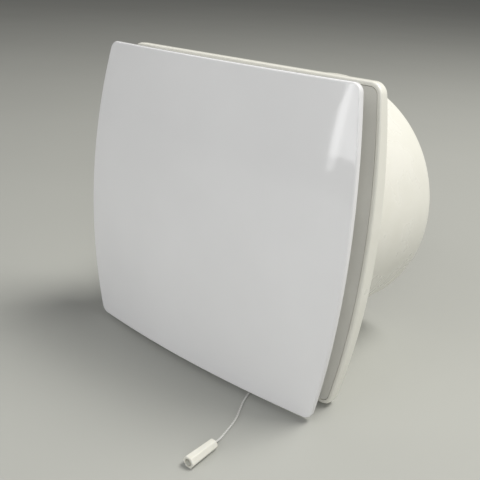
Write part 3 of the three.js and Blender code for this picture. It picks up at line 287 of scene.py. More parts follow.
def laminated_steel():
    """Punched sheets of silicon steel, seen edge on: dark, 0.5 mm apart, and browned where the cut rusted."""
    material = mottled("laminated_steel", "#7C7F83", "#6B5D50", 2.2, 0.38, 0.6, 0.4, 0.01, Metallic=0.85)
    tree = material.node_tree
    lean = math.atan2(-duct_axis.z, duct_axis.y)
    place = node(tree, "ShaderNodeTexCoord").outputs["Object"]
    square = node(tree, "ShaderNodeMapping", {"Vector": place, "Rotation": (lean, 0, 0)}).outputs["Vector"]
    return carved(material, waves(tree, square, 0.5 * MM, "Y", 0.4), "#4A4B4D", 0.05, True)


def braided_polyester():
    """A braid of polyester strands, 0.35 mm apart, that cross over each other: grey-white and dull with a slight
    sheen, with painted shade in the troughs between the strands. The strands follow the cord by its own map, which
    counts turns and millimetres."""
    strand_mm, strands_round = 0.35, 8
    sheen = {"Sheen Weight": 0.25, "Sheen Roughness": 0.4}
    material = mottled(
        "braided_polyester", "#E6E6E3", "#D4D4D1", 0.3, 0.5, 0.7, 0.3, 0.01, IOR=1.5, **sheen
    )
    tree = material.node_tree
    follow = node(tree, "ShaderNodeUVMap", uv_map="braid").outputs["UV"]
    crests = []
    for lean in (1, -1):
        strands = {"Vector": follow, "Scale": (strands_round * lean / 2, 1 / (2 * strand_mm), 1)}
        crests.append(waves(tree, node(tree, "ShaderNodeMapping", strands).outputs["Vector"], 1, "DIAGONAL"))
    crossing = node(tree, "ShaderNodeMath", {0: crests[0], 1: crests[1]}, operation="MAXIMUM")
    # The troughs between the strands are painted a darker grey, #AEAEAB, as painted shade over the carved relief.
    return carved(material, crossing.outputs[0], "#AEAEAB", 0.06, False)


FINISH = {
    # ABS from a polished mould: a deep, clear gloss over white, with only the faintest long ripple.
    "panel_white": mottled("polished_abs", "#EAEAEB", "#E6E6E7", 60, 0.05, 0.08, 35, 0.02, IOR=1.53),
    # ABS from a satin mould: ivory white with a soft sheen, its flow showing as pale clouds. Its grain is
    # finer than 0.1 mm, and is drawn as slow ripples 6 mm across that only the highlights show.
    "casing_ivory": mottled("satin_abs", "#ECEBE3", "#E7E6DC", 25, 0.25, 0.33, 6, 0.004, IOR=1.53),
    # ABS from a spark-eroded mould: a greyer ivory, duller, with an even texture. Its pits are 0.15 mm
    # across, and are drawn three times as coarse to show.
    "frame_ivory": mottled("spark_eroded_abs", "#D6D5CE", "#D0CFC8", 18, 0.34, 0.42, 0.45, 0.004, IOR=1.53),
    # Nylon with short glass fibres: mid grey and slightly waxy, streaked where they lie along the flow.
    "grey_nylon": mottled(
        "glass_filled_nylon", "#C6C8C5", "#B6B8B5", 2.4, 0.34, 0.5, 0.8, 0.012, stretch=(1, 0.35, 1), IOR=1.53
    ),
    # Unfilled nylon, coloured black: a low, even sheen, slightly orange-peeled.
    "black_nylon": mottled("black_nylon", "#2C2D30", "#222325", 1.8, 0.36, 0.5, 0.6, 0.01, IOR=1.53),
    # Moulded polystyrene: off-white, with a soft gloss, and light that sinks in a little at a thin rim.
    "bell_plastic": mottled(
        "moulded_polystyrene", "#E2E1D9", "#DCDBD1", 6, 0.2, 0.28, 1.2, 0.004, IOR=1.59,
        **{"Subsurface Weight": 0.12, "Subsurface Scale": 0.0015, "Subsurface Radius": (1, 0.9, 0.7)},
    ),
    # Steel plated with bright zinc: bluish, with dull clouds left by the bath.
    "zinc_plate": mottled(
        "zinc_plated_steel", "#CDD0D3", "#B2B6BC", 1.6, 0.2, 0.36, 0.3, 0.003, Metallic=1.0
    ),
    # Centreless-ground steel bar: bright, with fine rings round it from the wheel.
    "ground_steel": mottled(
        "ground_steel", "#C4C6C9", "#9DA0A4", 1.2, 0.18, 0.34, 0.5, 0.003,
        stretch=(0.15, 6, 0.15), Metallic=1.0,
    ),
    "laminated_steel": laminated_steel(),
    # Die-cast zinc alloy: grey and lightly mottled, with a grainy skin where the metal chilled.
    "cast_zinc": mottled("die_cast_zinc", "#ABAEB2", "#8D9094", 1.8, 0.38, 0.55, 0.4, 0.012, Metallic=1.0),
    # Sintered bronze, full of oil: brown-gold grains with dark pores between them.
    "sintered_bronze": mottled(
        "sintered_bronze", "#B5885C", "#6A4A2A", 0.35, 0.3, 0.5, 0.35, 0.015, Metallic=1.0
    ),
    # Magnet wire: copper seen through a clear amber enamel, which gives each turn a sharp highlight.
    "enamelled_copper": mottled(
        "enamelled_copper", "#C06A38", "#A5532A", 3, 0.25, 0.38, 0.5, 0.002, Metallic=0.9,
        **{"Coat Weight": 0.7, "Coat Roughness": 0.15},
    ),
    # EPDM rubber: near black and dull, greyed by a bloom of wax and dust.
    "black_rubber": mottled("moulded_rubber", "#29292A", "#3E3E3D", 2, 0.6, 0.8, 0.4, 0.012, IOR=1.5),
    "braided_cord": braided_polyester(),
}


# Shaping

def add(operator, settle=True, **settings):
    """Adds a primitive with nothing else selected, and puts its place into its mesh unless told not to."""
    bpy.ops.object.select_all(action="DESELECT")
    operator(**settings)
    piece = bpy.context.active_object
    if settle:
        piece.data.transform(piece.matrix_basis)
        piece.matrix_basis = Matrix.Identity(4)
    return piece


def select_only(piece, *others):
    bpy.ops.object.select_all(action="DESELECT")
    for each in (piece, *others):
        each.select_set(True)
    bpy.context.view_layer.objects.active = piece


@contextmanager
def editing(piece):
    bpy.context.view_layer.objects.active = piece
    bpy.ops.object.mode_set(mode="EDIT")
    bpy.ops.mesh.select_mode(type="VERT")
    yield
    bpy.ops.object.mode_set(mode="OBJECT")


def choose(piece, kind, rule):
    """In edit mode, selects only the verts, edges or faces that the rule is true of."""
    bpy.ops.mesh.select_all(action="DESELECT")
    bpy.ops.mesh.select_mode(type={"verts": "VERT", "edges": "EDGE", "faces": "FACE"}[kind])
    mesh = bmesh.from_edit_mesh(piece.data)
    for item in getattr(mesh, kind):
        item.select_set(bool(rule(item)))
    mesh.select_flush_mode()
    bmesh.update_edit_mesh(piece.data)


def choose_rings(piece, *numbers):
    """In edit mode, selects the edges that run along these rings."""
    ring = bmesh.from_edit_mesh(piece.data).verts.layers.int["ring"]
    choose(piece, "edges", lambda edge: any(all(v[ring] == number for v in edge.verts) for number in numbers))


def draw_ring(piece, points, number):
    """In edit mode, moves the selected ring onto its points and gives it its number."""
    mesh = bmesh.from_edit_mesh(piece.data)
    step, ring = mesh.verts.layers.int["step"], mesh.verts.layers.int["ring"]
    for vertex in mesh.verts:
        if vertex.select:
            vertex.co = points[vertex[step]]
            vertex[ring] = number
    bmesh.update_edit_mesh(piece.data)


def skin(rings, ends):
    """A circle is drawn onto the first ring of points and extruded from ring to ring.
    ends is closed, over their middle, or joined: the last ring is bridged to the first."""
    piece = add(bpy.ops.mesh.primitive_circle_add, vertices=len(rings[0]))
    with editing(piece):
        mesh = bmesh.from_edit_mesh(piece.data)
        step = mesh.verts.layers.int.new("step")
        mesh.verts.layers.int.new("ring")
        for place, vertex in enumerate(mesh.verts):
            vertex[step] = place
        bpy.ops.mesh.select_all(action="SELECT")
        draw_ring(piece, rings[0], 0)
        for number, points in enumerate(rings[1:], 1):
            bpy.ops.mesh.extrude_region_move()
            draw_ring(piece, points, number)
        if ends == "joined":
            choose_rings(piece, 0, len(rings) - 1)
            bpy.ops.mesh.bridge_edge_loops()
        else:
            for number in (0, len(rings) - 1):
                choose_rings(piece, number)
                bpy.ops.mesh.edge_face_add()
        bpy.ops.mesh.select_all(action="SELECT")
        bpy.ops.mesh.normals_make_consistent(inside=False)
    return piece


def round_rings(piece, *edges):
    """Rounds the edges that run along rings, each given as its ring, width and segments. What a bevel adds
    leaves the ring, so that the rings beside it are still found."""
    with editing(piece):
        for number, width, segments in edges:
            choose_rings(piece, number)
            bpy.ops.mesh.bevel(offset=width, segments=segments, affect="EDGES", clamp_overlap=False)
            mesh = bmesh.from_edit_mesh(piece.data)
            ring = mesh.verts.layers.int["ring"]
            for vertex in mesh.verts:
                if vertex.select:
                    vertex[ring] = -1
            bmesh.update_edit_mesh(piece.data)


def modify(piece, kind, **settings):
    """Adds a modifier with its settings, and applies it."""
    bpy.ops.object.select_all(action="DESELECT")
    bpy.context.view_layer.objects.active = piece
    modifier = piece.modifiers.new("shaping", kind)
    for name, value in settings.items():
        setattr(modifier, name, value)
    bpy.ops.object.modifier_apply(modifier=modifier.name)


def bevel_edges(piece, width, segments=2):
    """Rounds every edge that turns by more than 30 degrees."""
    sharp = math.radians(30)
    modify(piece, "BEVEL", width=width, segments=segments, limit_method="ANGLE", angle_limit=sharp)


def cut_away(piece, *tools, operation="DIFFERENCE"):
    """Cuts the tools out of the piece, or keeps only what it shares with them, and deletes them."""
    for tool in tools:
        modify(piece, "BOOLEAN", operation=operation, solver="EXACT", object=tool)
        bpy.data.objects.remove(tool)


def unite(piece, *others):
    """Joins the others into the piece as one object, each keeping its own shell."""
    select_only(piece, *others)
    bpy.ops.object.join()
    return piece


def copied(piece, change):
    """A copy with its own mesh, changed by a matrix."""
    twin = piece.copy()
    twin.data = piece.data.copy()
    twin.data.transform(change)
    bpy.context.scene.collection.objects.link(twin)
    return twin


def about_duct(degrees):
    return Matrix.Rotation(math.radians(degrees), 4, "Y")


def is_along_duct(edge):
    return abs(edge.verts[0].co.y - edge.verts[1].co.y) > 1


def rod(radius, front, back, x=0, z=0, sides=32, settle=True):
    """A round bar along the duct's axis."""
    return add(
        bpy.ops.mesh.primitive_cylinder_add,
        settle,
        vertices=sides,
        radius=radius,
        depth=back - front,
        location=(x, (front + back) / 2, z),
        rotation=(QUARTER, 0, 0),
    )


def cutter(*measures, **settings):
    """A round bar that only cuts. Its place stays on the object, so that its corners aren't rounded twice."""
    return rod(*measures, settle=False, **settings)


def drill(radius, front, back, x=0, z=0, sides=32):
    """A bar that stands out 1 mm from both faces, to cut a hole right through."""
    return cutter(radius, front - 1, back + 1, x, z, sides)


def block(low, high):
    """A box between two corners."""
    low, high = Vector(low), Vector(high)
    return add(bpy.ops.mesh.primitive_cube_add, size=1, location=(low + high) / 2, scale=high - low)


def knot(radius, place):
    ball = bpy.ops.mesh.primitive_uv_sphere_add
    return add(ball, segments=24, ring_count=12, radius=radius, location=place)


def turned(profile, steps=48, closed=True, x=0, z=0):
    """A profile of (radius, y) points spun about the duct's axis and moved to x and z. A closed profile
    stays off the axis; an open one starts and ends on it."""
    piece = add(bpy.ops.mesh.primitive_circle_add, vertices=len(profile))
    with editing(piece):
        mesh = bmesh.from_edit_mesh(piece.data)
        for vertex, (radius, y) in zip(mesh.verts, profile):
            vertex.co = (radius, y, 0)
        bmesh.update_edit_mesh(piece.data)
        if not closed:
            choose(piece, "edges", lambda edge: all(abs(vertex.co.x) < 1e-6 for vertex in edge.verts))
            bpy.ops.mesh.delete(type="EDGE")
        bpy.ops.mesh.select_all(action="SELECT")
        bpy.ops.mesh.spin(steps=steps, angle=TURN, center=(0, 0, 0), axis=(0, 1, 0))
        bpy.ops.mesh.select_all(action="SELECT")
        bpy.ops.mesh.remove_doubles(threshold=1e-3)
        bpy.ops.mesh.normals_make_consistent(inside=False)
    piece.data.transform(Matrix.Translation((x, 0, z)))
    return piece


def dress(piece, name, slot, place, smooth_angle):
    """Names the piece, lays it in place, smooths it and gives it its finish."""
    piece.name = name
    piece.data.transform(place)
    for layer in ("step", "ring"):
        if layer in piece.data.attributes:
            piece.data.attributes.remove(piece.data.attributes[layer])
    select_only(piece)
    bpy.ops.object.shade_smooth_by_angle(angle=math.radians(smooth_angle))
    piece.data.materials.clear()
    piece.data.materials.append(FINISH[slot])


def finish_piece(piece, name, body, slot, *nodes, place=FAN_PLACE, smooth_angle=35):
    """Dresses the piece, evens its shading, hangs it on the body that it rides on and hides the nodes that it
    stands for.
    """
    dress(piece, name, slot, place, smooth_angle)
    modify(piece, "WEIGHTED_NORMAL", keep_sharp=True)
    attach(piece, body)
    if nodes:
        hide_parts(*nodes)
    return piece


# Outlines

SIDE_STEPS, CORNER_STEPS, END_STEPS = 18, 10, 12
SMALLEST_CORNER = 2


def arc(u, v, radius, start, end, steps):
    """Points on an arc round (u, v), from one angle to another."""
    angles = [start + (end - start) * i / steps for i in range(steps + 1)]
    return [(u + radius * math.cos(angle), v + radius * math.sin(angle)) for angle in angles]


def both_ends(half, front, back):
    """A profile from one half: its (radius, depth) points in from the front, and mirrored at the back."""
    return [(r, front + depth) for r, depth in half] + [(r, back - depth) for r, depth in reversed(half)]


def bar(radius, front, back, chamfer, **settings):
    """A turned bar with chamfered ends."""
    half = [(0, 0), (radius - chamfer, 0), (radius, chamfer)]
    return turned(both_ends(half, front, back), closed=False, **settings)


def outline(form, inset=0.0):
    """The form's outline as (x, z) points, set in by a distance, anticlockwise from the right."""
    half = form.height / 2
    side_radius = (half * half + form.bow * form.bow) / (2 * form.bow)
    side_centre = form.width / 2 + form.bow - side_radius
    corner = max(form.corner - inset, SMALLEST_CORNER)
    corner_z = half - inset - corner
    reach = side_radius - inset - corner
    corner_x = side_centre + math.sqrt(reach * reach - corner_z * corner_z)
    tangent = math.atan2(corner_z, corner_x - side_centre)
    quarter = arc(side_centre, 0, side_radius - inset, 0, tangent, SIDE_STEPS)
    quarter += arc(corner_x, corner_z, corner, tangent, QUARTER, CORNER_STEPS)[1:]
    quarter += [(corner_x * (1 - i / END_STEPS), half - inset) for i in range(1, END_STEPS + 1)]
    upper = quarter + [(-x, z) for x, z in reversed(quarter[:-1])]
    return upper + [(x, -z) for x, z in reversed(upper[1:-1])]


def circle(radius):
    """A circle with its points in line with those of the casing's outline."""
    angles = [math.atan2(z, x) for x, z in outline(CASING)]
    return [(radius * math.cos(angle), radius * math.sin(angle)) for angle in angles]


def at_depths(*outlines):
    """A ring of points for each outline and its depth, which may be a rule of x and z."""
    return [
        [Vector((x, depth(x, z) if callable(depth) else depth, z)) for x, z in points]
        for points, depth in outlines
    ]


def casing_edge(x, z):
    """The casing's front edge, which comes forward along its bowed sides."""
    along = 2 * z / CASING.height
    return CASING_FRONT - CASING_SIDE_RISE * (1 - along * along)


def panel_face(x, z):
    across, along = 2 * x / PANEL.width, 2 * z / PANEL.height
    return -PANEL_DOME * (1 - across * across) - PANEL_DOME * (1 - along * along)


def each_corner(make, x, z):
    """What make gives for each of four places round the duct's axis."""
    return [make(side_x * x, side_z * z) for side_x in (-1, 1) for side_z in (-1, 1)]


# Casing, panel and frame

def make_panel_cover():
    """The front panel: a thin sheet with rounded edges, domed both ways, on four posts."""
    edge = outline(PANEL)
    cover = skin(at_depths((edge, 0), (edge, PANEL_THICKNESS)), "closed")
    round_rings(cover, (0, PANEL_EDGE, 5), (1, PANEL_EDGE * 0.4, 2))
    to_corner = SIDE_STEPS + CORNER_STEPS // 2

    def lies_flat(item):
        return all(abs(vertex.co.y - depth) < 1e-4 for vertex in item.verts)

    with editing(cover):
        for depth in (0, PANEL_THICKNESS):
            choose(cover, "faces", lies_flat)
            bpy.ops.mesh.delete(type="ONLY_FACE")
            choose(cover, "edges", lies_flat)
            bpy.ops.mesh.fill_grid(span=2 * to_corner, offset=to_corner)
        bpy.ops.mesh.select_all(action="SELECT")
        bpy.ops.mesh.normals_make_consistent(inside=False)
    for vertex in cover.data.vertices:
        vertex.co.y += panel_face(vertex.co.x, vertex.co.z)

    def post(x, z):
        foot = PLATEAU - SEAT
        stem = rod(POST_RADIUS, panel_face(x, z) + PANEL_THICKNESS / 2, foot, x, z)
        pin = rod(POST_PIN_RADIUS, foot - 1, foot + POST_PIN_LENGTH, x, z)
        bevel_edges(stem, 0.3)
        bevel_edges(pin, 0.6)
        return unite(stem, pin)

    unite(cover, *each_corner(post, POST_X, POST_Z))
    finish_piece(cover, "panel_cover", "panel", "panel_white", "front_panel")


def make_casing_shell():
    """The casing and its duct: one moulding with an even wall and soft edges."""
    outside, inside = outline(CASING), outline(CASING, CASING_WALL)
    duct, bore = circle(DUCT_RADIUS), circle(DUCT_BORE)
    rings = at_depths(
        (outside, casing_edge), (outside, WALL_PLANE), (duct, WALL_PLANE), (duct, DUCT_END),
        (bore, DUCT_END), (bore, PLATE), (inside, PLATE), (inside, casing_edge),
    )
    shell = skin(rings, "joined")
    # The front edge outside and inside, the back edge, the duct's root, and its rim outside and inside
    round_rings(shell, (0, 1.1, 4), (7, 0.4, 2), (1, 0.7, 3), (2, 1.0, 3), (3, 0.8, 3), (4, 0.5, 3))

    def boss(x, z):
        front = PLATEAU_BACK + SEAT
        made = rod(BOSS_RADIUS, front, PLATE + 0.5, x, z)
        cut_away(made, cutter(SCREW_RADIUS + SEAT, front - 1, PLATE - 0.5, x, z))
        bevel_edges(made, 0.2)
        return made

    def stop(turn):
        back = MOUNT_FRONT - SEAT
        low = (-STOP_HALF_WIDTH, back - STOP_DEPTH, DUCT_BORE - STOP_HEIGHT)
        made = block(low, (STOP_HALF_WIDTH, back, DUCT_BORE + 0.5))
        bevel_edges(made, 0.3)
        made.data.transform(about_duct(turn))
        return made

    def wall_hole(x, z):
        return drill(WALL_HOLE_RADIUS, PLATE, WALL_PLANE, x, z)

    def pilot(x):
        return cutter(SCREW_RADIUS + SEAT, PLATE - 1, PLATE + FIXING_PILOT_DEPTH, x, -BOX_MIDDLE)

    cable_hole = drill(GROMMET_RADIUS, PLATE, WALL_PLANE, GROMMET_X, GROMMET_Z)
    wall_holes = each_corner(wall_hole, WALL_HOLE_X, WALL_HOLE_Z)
    cut_away(shell, cable_hole, *wall_holes, pilot(-FIXING_X), pilot(FIXING_X))
    bosses = each_corner(boss, FRAME_SCREW_X, FRAME_SCREW_Z)
    unite(shell, *bosses, *[stop(45 + 360 * i / VANES) for i in range(VANES)])
    finish_piece(shell, "casing_shell", "housing", "casing_ivory", "casing")


def make_frame_moulding():
    """The frame behind the panel: a strip, a raised plateau and the round mouth with its collar."""
    outer = outline(CASING, CASING_WALL + PARTING_GAP)
    mouth, collar = circle(MOUTH_RADIUS), circle(MOUTH_RADIUS + FRAME_WALL)

    def strip(fall):
        return lambda x, z: casing_edge(x, z) + FRAME_RECESS + fall

    rings = at_depths(
        (outer, strip(0)),
        (outline(PLATEAU_FORM, -RISER_SLOPE), strip(STRIP_FALL)),
        (outline(PLATEAU_FORM), PLATEAU),
        (circle(MOUTH_RADIUS + MOUTH_LIP), PLATEAU),
        (mouth, PLATEAU + MOUTH_LIP),
        (mouth, COLLAR_END),
        (collar, COLLAR_END),
        (collar, PLATEAU + MOUTH_LIP),
        (circle(MOUTH_RADIUS + MOUTH_LIP * 0.8 + FRAME_WALL / 2), PLATEAU_BACK),
        (outline(PLATEAU_FORM, FRAME_WALL), PLATEAU_BACK),
        (outline(PLATEAU_FORM, FRAME_WALL - RISER_SLOPE), strip(STRIP_FALL + FRAME_WALL)),
        (outer, strip(FRAME_WALL)),
    )
    moulding = skin(rings, "joined")
    # The outer edge, the riser's foot and top, the mouth's lip outside and inside, and the collar's end
    round_rings(moulding, (0, 0.35, 2), (1, 2.2, 5), (2, 1.2, 4), (3, 1.5, 4), (4, 1.5, 4), (5, 0.4, 2))
    socket_back = PLATEAU + POST_PIN_LENGTH + FRAME_WALL

    def socket_bore(x, z):
        return cutter(POST_PIN_RADIUS + SEAT, PLATEAU - 1, socket_back - 1.2, x, z)

    def socket(x, z):
        made = rod(POST_RADIUS + 0.4, PLATEAU + 0.5, socket_back, x, z)
        cut_away(made, socket_bore(x, z))
        return made

    def screw_hole(x, z):
        return drill(SCREW_RADIUS + SEAT, PLATEAU, PLATEAU_BACK, x, z)

    def eyelet_hole(radius, depth, height):
        cylinder, place = bpy.ops.mesh.primitive_cylinder_add, (CORD_X, LEVER_Y, height)
        return add(cylinder, vertices=48, radius=radius, depth=depth, location=place)

    holes = each_corner(socket_bore, POST_X, POST_Z) + each_corner(screw_hole, FRAME_SCREW_X, FRAME_SCREW_Z)
    face = eyelet_hole(EYELET_RADIUS + EYELET_FLANGE_WIDTH + 2 * SEAT, 3, RISER_OUTSIDE - 1.5)
    cut_away(moulding, *holes, face, eyelet_hole(EYELET_RADIUS + SEAT, 8, RISER_OUTSIDE))
    unite(moulding, *each_corner(socket, POST_X, POST_Z))
    finish_piece(moulding, "frame_moulding", "housing", "frame_ivory", "front_frame")


def pan_screw(head_radius, head_height, face, tip):
    """A pan-head screw on the duct's axis with a cross recess, its seat at face."""
    top = face - head_height
    profile = [
        (0, face), (head_radius, face), (head_radius, face - head_height * 0.4),
        (head_radius * 0.86, face - head_height * 0.8), (head_radius * 0.55, top), (0, top),
    ]
    head = turned(profile, 32, closed=False)
    wide, narrow = head_radius * 0.6, 0.3
    for across, tall in ((wide, narrow), (narrow, wide)):
        cut_away(head, block((-across, top - 1, -tall), (across, face - head_height * 0.35, tall)))
    return unite(head, rod(SCREW_RADIUS, face - 0.3, tip))


def make_frame_screws():
    screw = pan_screw(SCREW_HEAD_RADIUS, SCREW_HEAD_HEIGHT, PLATEAU - SEAT, PLATE - SCREW_END)
    for hand, x in (("left", -FRAME_SCREW_X), ("right", FRAME_SCREW_X)):
        for end, z in (("bottom", -FRAME_SCREW_Z), ("top", FRAME_SCREW_Z)):
            twin, name = copied(screw, Matrix.Translation((x, 0, z))), f"frame_screw_{end}_{hand}"
            finish_piece(twin, f"plated_{name}", "housing", "zinc_plate", name)
    bpy.data.objects.remove(screw)


# Impeller and motor

def blade_section(share, steps=12):
    """An aerofoil section across a blade, a share of the way from its root to its tip."""
    root, tip = HUB_RADIUS - HUB_WALL * 0.6, DUCT_BORE - TIP_GAP
    radius = root + (tip - root) * share
    chord = BLADE_CHORD + BLADE_GROWTH * share**0.8
    pitch = math.radians(BLADE_PITCH - BLADE_TWIST * share)
    thick = BLADE_THICKNESS * (1 - 0.35 * share)
    upper, lower = [], []
    for i in range(steps + 1):
        along = (1 - math.cos(math.pi * i / steps)) / 2
        camber = BLADE_CAMBER * chord * 4 * along * (1 - along)
        half = thick * (0.18 + 1.3 * math.sqrt(along) * (1 - along)) / 2
        upper.append(((along - 0.5) * chord, camber + half))
        lower.append(((along - 0.5) * chord, camber - half))
    middle = (HUB_FRONT + HUB_BACK) / 2 + 1
    points = []
    for u, v in upper + lower[::-1]:
        tangential = u * math.cos(pitch) - v * math.sin(pitch)
        axial = u * math.sin(pitch) + v * math.cos(pitch)
        angle = tangential / radius + BLADE_SWEEP * share * share
        points.append(Vector((radius * math.sin(angle), middle + axial, radius * math.cos(angle))))
    return points


def make_impeller_moulding():
    """The impeller: a hollow hub with a rounded nose and seven twisted aerofoil blades."""
    inner, floor = HUB_RADIUS - HUB_WALL, HUB_FRONT + HUB_WALL
    boss_end = HUB_BACK - HUB_WALL
    bore = SHAFT_RADIUS + SEAT
    profile = [
        (bore, HUB_FRONT),
        *arc(HUB_RADIUS - NOSE_RADIUS, HUB_FRONT + NOSE_RADIUS, NOSE_RADIUS, -QUARTER, 0, 6),
        (HUB_RADIUS, HUB_BACK), (inner, HUB_BACK), (inner, HUB_FRONT + NOSE_RADIUS), (inner - 2, floor),
        (HUB_BOSS_RADIUS, floor), (HUB_BOSS_RADIUS, boss_end), (bore, boss_end),
    ]
    hub = turned(profile, 72)
    sections = 17
    blade = skin([blade_section(i / (sections - 1)) for i in range(sections)], "closed")
    unite(hub, *[copied(blade, about_duct(360 * i / BLADES)) for i in range(BLADES)])
    bpy.data.objects.remove(blade)
    finish_piece(hub, "impeller_moulding", "impeller_group", "grey_nylon", "impeller")


def coil_points(x, margin, corner):
    """A rounded outline round the coil's limb, in the plane across it."""
    middle = (STACK_FRONT + STACK_BACK) / 2
    half_y, half_z = STACK_LENGTH / 2 + margin - corner, LIMB_HEIGHT / 2 + margin - corner
    points = []
    for i, (side_y, side_z) in enumerate(((1, 1), (-1, 1), (-1, -1), (1, -1))):
        centre = middle + side_y * half_y, COIL_MIDDLE + side_z * half_z
        points += [Vector((x, y, z)) for y, z in arc(*centre, corner, QUARTER * i, QUARTER * (i + 1), 5)]
    return points


def coil_block(left, right, margin, corner):
    """A block round the coil's limb, from left to right, as deep as the limb and a margin on each side."""
    return skin([coil_points(x, margin, corner) for x in (left, right)], "closed")


def bolt_holes(front, back):
    return [drill(MOTOR_SCREW_RADIUS + SEAT, front, back, side * MOTOR_SCREW_X) for side in (-1, 1)]


def make_motor_mount():
    """The ring, vanes and cup that carry the motor in the duct."""
    outside = DUCT_BORE - SEAT
    band = turned(both_ends([(outside - MOUNT_WALL, 0), (outside, 0)], MOUNT_FRONT, MOUNT_BACK), 96)
    bevel_edges(band, 0.4)
    inside, rim = CUP_RADIUS - MOUNT_WALL, MOUNT_PLATE_BACK + CUP_RIM
    profile = [
        (CUP_BORE, MOUNT_FRONT), (CUP_RADIUS - 1, MOUNT_FRONT), (CUP_RADIUS, MOUNT_FRONT + 1),
        (CUP_RADIUS, rim), (inside, rim), (inside, MOUNT_PLATE_BACK), (CUP_BORE, MOUNT_PLATE_BACK),
    ]
    cup = turned(profile, 72)
    half = COIL_HALF_LENGTH + 1
    room = coil_block(-half, half, FLANGE_MARGIN + 3 * SEAT, 3)
    cut_away(cup, *bolt_holes(MOUNT_FRONT, MOUNT_PLATE_BACK), room)
    bevel_edges(cup, 0.25)
    vanes = []
    for i in range(VANES):
        low = (-VANE_THICKNESS / 2, MOUNT_FRONT, CUP_RADIUS - 1)
        vane = block(low, (VANE_THICKNESS / 2, MOUNT_BACK - 1, outside - 1))
        bevel_edges(vane, 0.7, 3)
        vane.data.transform(about_duct(VANE_LEAN + 45 + 360 * i / VANES))
        vanes.append(vane)
    unite(band, cup, *vanes)
    finish_piece(band, "mount_moulding", "housing", "frame_ivory", "motor_mount")


def make_bracket(name, feet, way, node_name):
    """A die-cast bridge across the stator's bore that holds one bearing, from its feet forwards (-1) or
    backwards (1)."""
    end = feet + way * BRACKET_DEPTH
    low, high = sorted((feet, end))
    length, width = MOTOR_SCREW_X + BRACKET_END, BRACKET_WIDTH / 2
    bar_low, bar_high = sorted((end - way * BRACKET_BAR, end))
    bridge = block((-length, bar_low, -width), (length, bar_high, width))
    with editing(bridge):
        choose(bridge, "edges", is_along_duct)
        bpy.ops.mesh.bevel(offset=4, segments=8, affect="EDGES")
    foot = sorted((feet, end - way * (BRACKET_BAR - 0.5)))
    legs = [rod(BRACKET_FOOT, *foot, side * MOTOR_SCREW_X) for side in (-1, 1)]
    boss = rod(BRACKET_BOSS, *sorted((end - way * BEARING_LENGTH, end)), sides=48)
    for made in (bridge, boss):
        cut_away(made, drill(BEARING_RADIUS + SEAT, low, high, sides=48))
    for made in (bridge, *legs):
        cut_away(made, *bolt_holes(low, high))
    for made in (bridge, boss, *legs):
        bevel_edges(made, 0.35, 3)
    unite(bridge, boss, *legs)
    finish_piece(bridge, name, "housing", "cast_zinc", node_name)


def make_bearing(name, front, node_name):
    bore, chamfer = SHAFT_RADIUS + RUNNING_FIT, 0.4
    half = [(bore, chamfer), (bore + chamfer, 0), (BEARING_RADIUS - chamfer, 0), (BEARING_RADIUS, chamfer)]
    bearing = turned(both_ends(half, front, front + BEARING_LENGTH))
    finish_piece(bearing, name, "housing", "sintered_bronze", node_name)


def make_shaft():
    shaft = bar(SHAFT_RADIUS, HUB_FRONT - 3, REAR_BRACKET_END + 1, 0.5)
    finish_piece(shaft, "ground_shaft", "impeller_group", "ground_steel", "motor_shaft")


def make_winding():
    """The coil: one unbroken wire wound side by side over the bobbin."""
    half = COIL_HALF_LENGTH - BOBBIN_WALL - SEAT - WIRE / 2
    margin, corner = BOBBIN_WALL + WINDING_DEPTH - SEAT - WIRE / 2, 4
    lap = coil_points(0, margin, corner)
    steps = int(2 * half / WIRE) * len(lap)
    path = bpy.data.curves.new("wire", "CURVE")
    path.dimensions = "3D"
    path.bevel_depth, path.bevel_resolution, path.use_fill_caps = WIRE / 2, 1, True
    spline = path.splines.new("POLY")
    spline.points.add(steps)
    for i, point in enumerate(spline.points):
        place = lap[i % len(lap)]
        point.co = (-half + 2 * half * i / steps, place.y, place.z, 1)
    wound = bpy.data.objects.new("wound", path)
    bpy.context.scene.collection.objects.link(wound)
    select_only(wound)
    bpy.ops.object.convert(target="MESH")
    wound = bpy.context.active_object
    inner_layers = coil_block(-half, half, margin - WIRE * 0.4, corner)
    cut_away(inner_layers, coil_block(-half - 1, half + 1, BOBBIN_WALL + 2 * SEAT, 1))
    unite(inner_layers, wound)
    finish_piece(
        inner_layers, "coil_wire", "housing", "enamelled_copper", "coil_winding", smooth_angle=60
    )


def make_bobbin():
    """The bobbin: a tube with two rounded flanges that carries the wire."""
    half = COIL_HALF_LENGTH
    tube = coil_block(-half, half, SEAT + BOBBIN_WALL, 1)
    flanges = [
        coil_block(left, left + BOBBIN_WALL, FLANGE_MARGIN, 2.5) for left in (-half, half - BOBBIN_WALL)
    ]
    for made in (tube, *flanges):
        cut_away(made, coil_block(-half - 1, half + 1, SEAT, 0.2))
        bevel_edges(made, 0.2)
    unite(tube, *flanges)
    finish_piece(tube, "moulded_bobbin", "housing", "black_nylon", "coil_bobbin")


